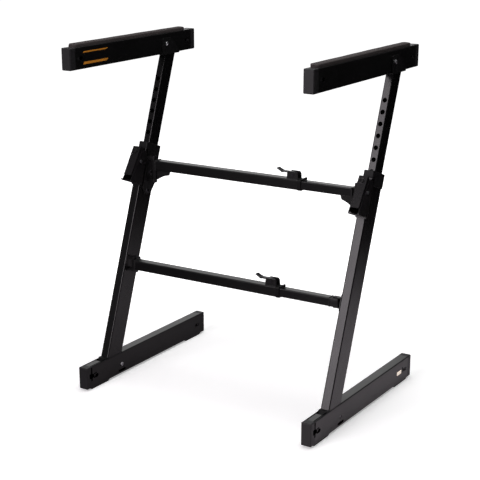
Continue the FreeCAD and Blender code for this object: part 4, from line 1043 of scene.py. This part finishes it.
# %% Cam levers
LEVER_EDGE = 0.7
SHARP_EDGE = math.radians(60)
GRIP_RIBS = 5
GRIP_START, GRIP_STEP = Vector((-34.0, 0, 7.6)), 2.5
GRIP_SIZE = (1.1, 10.5, 0.7)
PADDLE_SLOPE = math.atan2(PADDLE_TIP[1] - PADDLE_ROOT[1], PADDLE_ROOT[0] - PADDLE_TIP[0])

for level in LEVELS:
    node = level + "_cam_lever"
    low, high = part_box(node)
    pin_low, pin_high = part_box(level + "_cam_pin")
    pin = Vector((pin_low.x + pin_high.x, 0, pin_low.z + pin_high.z)) / 2
    bm = bmesh.new()
    faces = [ring(bm, [Vector((pin.x + x * MM, y, pin.z + z * MM)) for x, z in lever_outline()])
             for y in (low.y, high.y)]
    bridge(bm, faces)
    bmesh.ops.recalc_face_normals(bm, faces=bm.faces)
    rims = [edge for edge in bm.edges if edge.calc_face_angle() > SHARP_EDGE]
    bmesh.ops.bevel(bm, geom=rims, offset=LEVER_EDGE * MM, segments=3, affect="EDGES", profile=0.5)
    body = mesh_from(bm, node + "_body")
    body.materials.append(FINISHES["cam_plastic"])
    run = Vector((-math.cos(PADDLE_SLOPE), 0, math.sin(PADDLE_SLOPE))) * GRIP_STEP * MM
    first = pin + GRIP_START * MM + Vector((0, (low.y + high.y) / 2, 0))
    ribs = grown_mesh(BLOCK_ROW, "grip_ribs", {
        "Start": tuple(first), "Count": GRIP_RIBS, "Step": tuple(run),
        "Turn": (0, PADDLE_SLOPE, 0), "Block Size": tuple(size * MM for size in GRIP_SIZE),
        "Material": FINISHES["cam_plastic"]})
    name = level + "_moulded_lever"
    place_piece(join_meshes([body, ribs], name), name, node, True, smooth_angle=35)
print("cam levers: 2")

# %% [markdown]
# ## Weld beads
#
# A weld is a row of overlapping drops of metal. Geometry Nodes turn a drawn path into a curve,
# space points along it, and put a slightly flattened drop on each, a little larger or smaller at
# random from a fixed seed. The powder coat then covers the bead and the tube alike. A straight
# mesh line can't turn the corners of a tube, so the path is a drawn loop.


# %% Geometry Nodes: beads along a path
DROP_SEGMENTS, DROP_RINGS = 10, 6
DROP_SMALLEST, DROP_LARGEST = 0.86, 1.12


def bead_tree():
    """A node tree: drops along the seed mesh's edges. Inputs: spacing, drop radius, seed."""
    tree = bpy.data.node_groups.new("weld_bead", "GeometryNodeTree")
    socket(tree, "Geometry", "NodeSocketGeometry", "INPUT")
    socket(tree, "Spacing", "NodeSocketFloat", "INPUT", 0.0016)
    socket(tree, "Radius", "NodeSocketFloat", "INPUT", 0.0016)
    socket(tree, "Seed", "NodeSocketInt", "INPUT", 1)
    socket(tree, "Material", "NodeSocketMaterial", "INPUT")
    socket(tree, "Geometry", "NodeSocketGeometry", "OUTPUT")
    given = tree.nodes.new("NodeGroupInput")
    result = tree.nodes.new("NodeGroupOutput")
    curve = tree.nodes.new("GeometryNodeMeshToCurve")
    points = tree.nodes.new("GeometryNodeCurveToPoints")
    points.mode = "LENGTH"
    drop = tree.nodes.new("GeometryNodeMeshUVSphere")
    drop.inputs["Segments"].default_value = DROP_SEGMENTS
    drop.inputs["Rings"].default_value = DROP_RINGS
    puts = tree.nodes.new("GeometryNodeInstanceOnPoints")
    chance = tree.nodes.new("FunctionNodeRandomValue")
    chance.inputs[2].default_value = DROP_SMALLEST
    chance.inputs[3].default_value = DROP_LARGEST
    real = tree.nodes.new("GeometryNodeRealizeInstances")
    coat = tree.nodes.new("GeometryNodeSetMaterial")
    link = tree.links.new
    link(given.outputs["Geometry"], curve.inputs["Mesh"])
    link(curve.outputs["Curve"], points.inputs["Curve"])
    link(given.outputs["Spacing"], points.inputs["Length"])
    link(given.outputs["Radius"], drop.inputs["Radius"])
    link(given.outputs["Seed"], chance.inputs["Seed"])
    link(points.outputs["Points"], puts.inputs["Points"])
    link(drop.outputs["Mesh"], puts.inputs["Instance"])
    link(points.outputs["Rotation"], puts.inputs["Rotation"])
    link(chance.outputs[1], puts.inputs["Scale"])
    link(puts.outputs["Instances"], real.inputs["Geometry"])
    link(real.outputs["Geometry"], coat.inputs["Geometry"])
    link(given.outputs["Material"], coat.inputs["Material"])
    link(coat.outputs["Geometry"], result.inputs["Geometry"])
    return tree


WELD = bead_tree()
BEAD_SPACING = 1.5 * MM
BEAD_RADIUS = 1.5 * MM


def bead(name, like, paths, seed):
    """Weld beads along open or closed paths, as one piece that rides with a node."""
    meshes = []
    for path, closed in paths:
        seeds = bpy.data.meshes.new("weld_path")
        count = len(path)
        edges = [(i, i + 1) for i in range(count - 1)] + ([(count - 1, 0)] if closed else [])
        seeds.from_pydata(path, edges, [])
        meshes.append(grown_mesh(WELD, name, {
            "Spacing": BEAD_SPACING, "Radius": BEAD_RADIUS, "Seed": seed + len(meshes),
            "Material": FINISHES[SLOT_OF[like]]}, seeds))
    place_piece(join_meshes(meshes, name), name, like)


def loop_round(low, high, cut):
    """Corner-cut rectangle as (a, b) pairs."""
    a0, b0, a1, b1 = *low, *high
    return [(a0 + cut, b0), (a1 - cut, b0), (a1, b0 + cut), (a1, b1 - cut), (a1 - cut, b1),
            (a0 + cut, b1), (a0, b1 - cut), (a0, b0 + cut)]


# %% Welds of the crossbars
CORNER_CUT = 1.6 * MM
GUSSET_HALF = 2.0 * MM
EAR_MARGIN = 2.0 * MM
EAR_SEED, SADDLE_SEED = 40, 70

for index, level in enumerate(LEVELS):
    for kind, end in (("outer", "low"), ("inner", "high")):
        tube, hinge = level + "_" + kind + "_bar", level + "_" + kind + "_bar_hinge"
        low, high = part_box(tube)
        x = low.x if end == "low" else high.x
        paths = [([(x, y, z) for y, z in loop_round((low.y, low.z), (high.y, high.z), CORNER_CUT)],
                  True)]
        if level == "upper":
            hinge_low, hinge_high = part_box(hinge)
            tip = hinge_high.x if end == "low" else hinge_low.x
            for side in (-1, 1):
                y = (low.y + high.y) / 2 + side * GUSSET_HALF
                paths.append(([(x, y, low.z), (tip, y, low.z)], False))
        bead(hinge + "_weld", hinge, paths, 10 * index + len(paths))
    low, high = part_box(level + "_clamp_ears")
    paths = [([(low.x + EAR_MARGIN, y, low.z), (high.x - EAR_MARGIN, y, low.z)], False)
             for y in (low.y, high.y)]
    bead(level + "_ear_weld", level + "_clamp_ears", paths, EAR_SEED + index)
print("bar welds: 6")

# %% Welds under the arms
TOP_BAND = 1.0 * MM
for index, side in enumerate(SIDES):
    node = side + "_upright"
    points = mesh_points(node)
    top = max(point.z for point in points)
    rim = [point for point in points if point.z > top - TOP_BAND]
    low = (min(p.x for p in rim), min(p.y for p in rim))
    high = (max(p.x for p in rim), max(p.y for p in rim))
    path = [(x, y, top) for x, y in loop_round(low, high, CORNER_CUT)]
    bead(side + "_saddle_weld", node, [(path, True)], SADDLE_SEED + index)
print("saddle welds: 2")

# %% [markdown]
# ## Painted stripes
#
# The front of the left arm carries two plain orange stripes with cut ends. An image on the tube
# would need its own coordinates. Two prisms as thin as paint keep sharp edges at any size.

# %% Orange stripes
STRIPE_START, STRIPE_LENGTH, STRIPE_SLANT = 30 * MM, 92 * MM, 10 * MM
STRIPE_SHARES = ((0.20, 0.31), (0.72, 0.78))
INNER_SLANT_SHARE = 0.4
PAINT = 0.06 * MM

low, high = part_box("left_arm_tube")
bm = bmesh.new()
for start, end in STRIPE_SHARES:
    z0, z1 = (low.z + (high.z - low.z) * share for share in (start, end))
    y0 = low.y + STRIPE_START
    y1 = y0 + STRIPE_LENGTH
    outline = [(y0, z0), (y1, z0), (y1 + STRIPE_SLANT, z1),
               (y0 + STRIPE_SLANT * INNER_SLANT_SHARE, z1)]
    rings = [ring(bm, [Vector((x, y, z)) for y, z in outline])
             for x in (high.x - PAINT, high.x + PAINT)]
    bridge(bm, rings)
place_piece(mesh_from(bm, "orange_stripes"), "orange_stripes", "left_arm_tube",
            material=STRIPE_PAINT)
print("stripes:", len(STRIPE_SHARES))
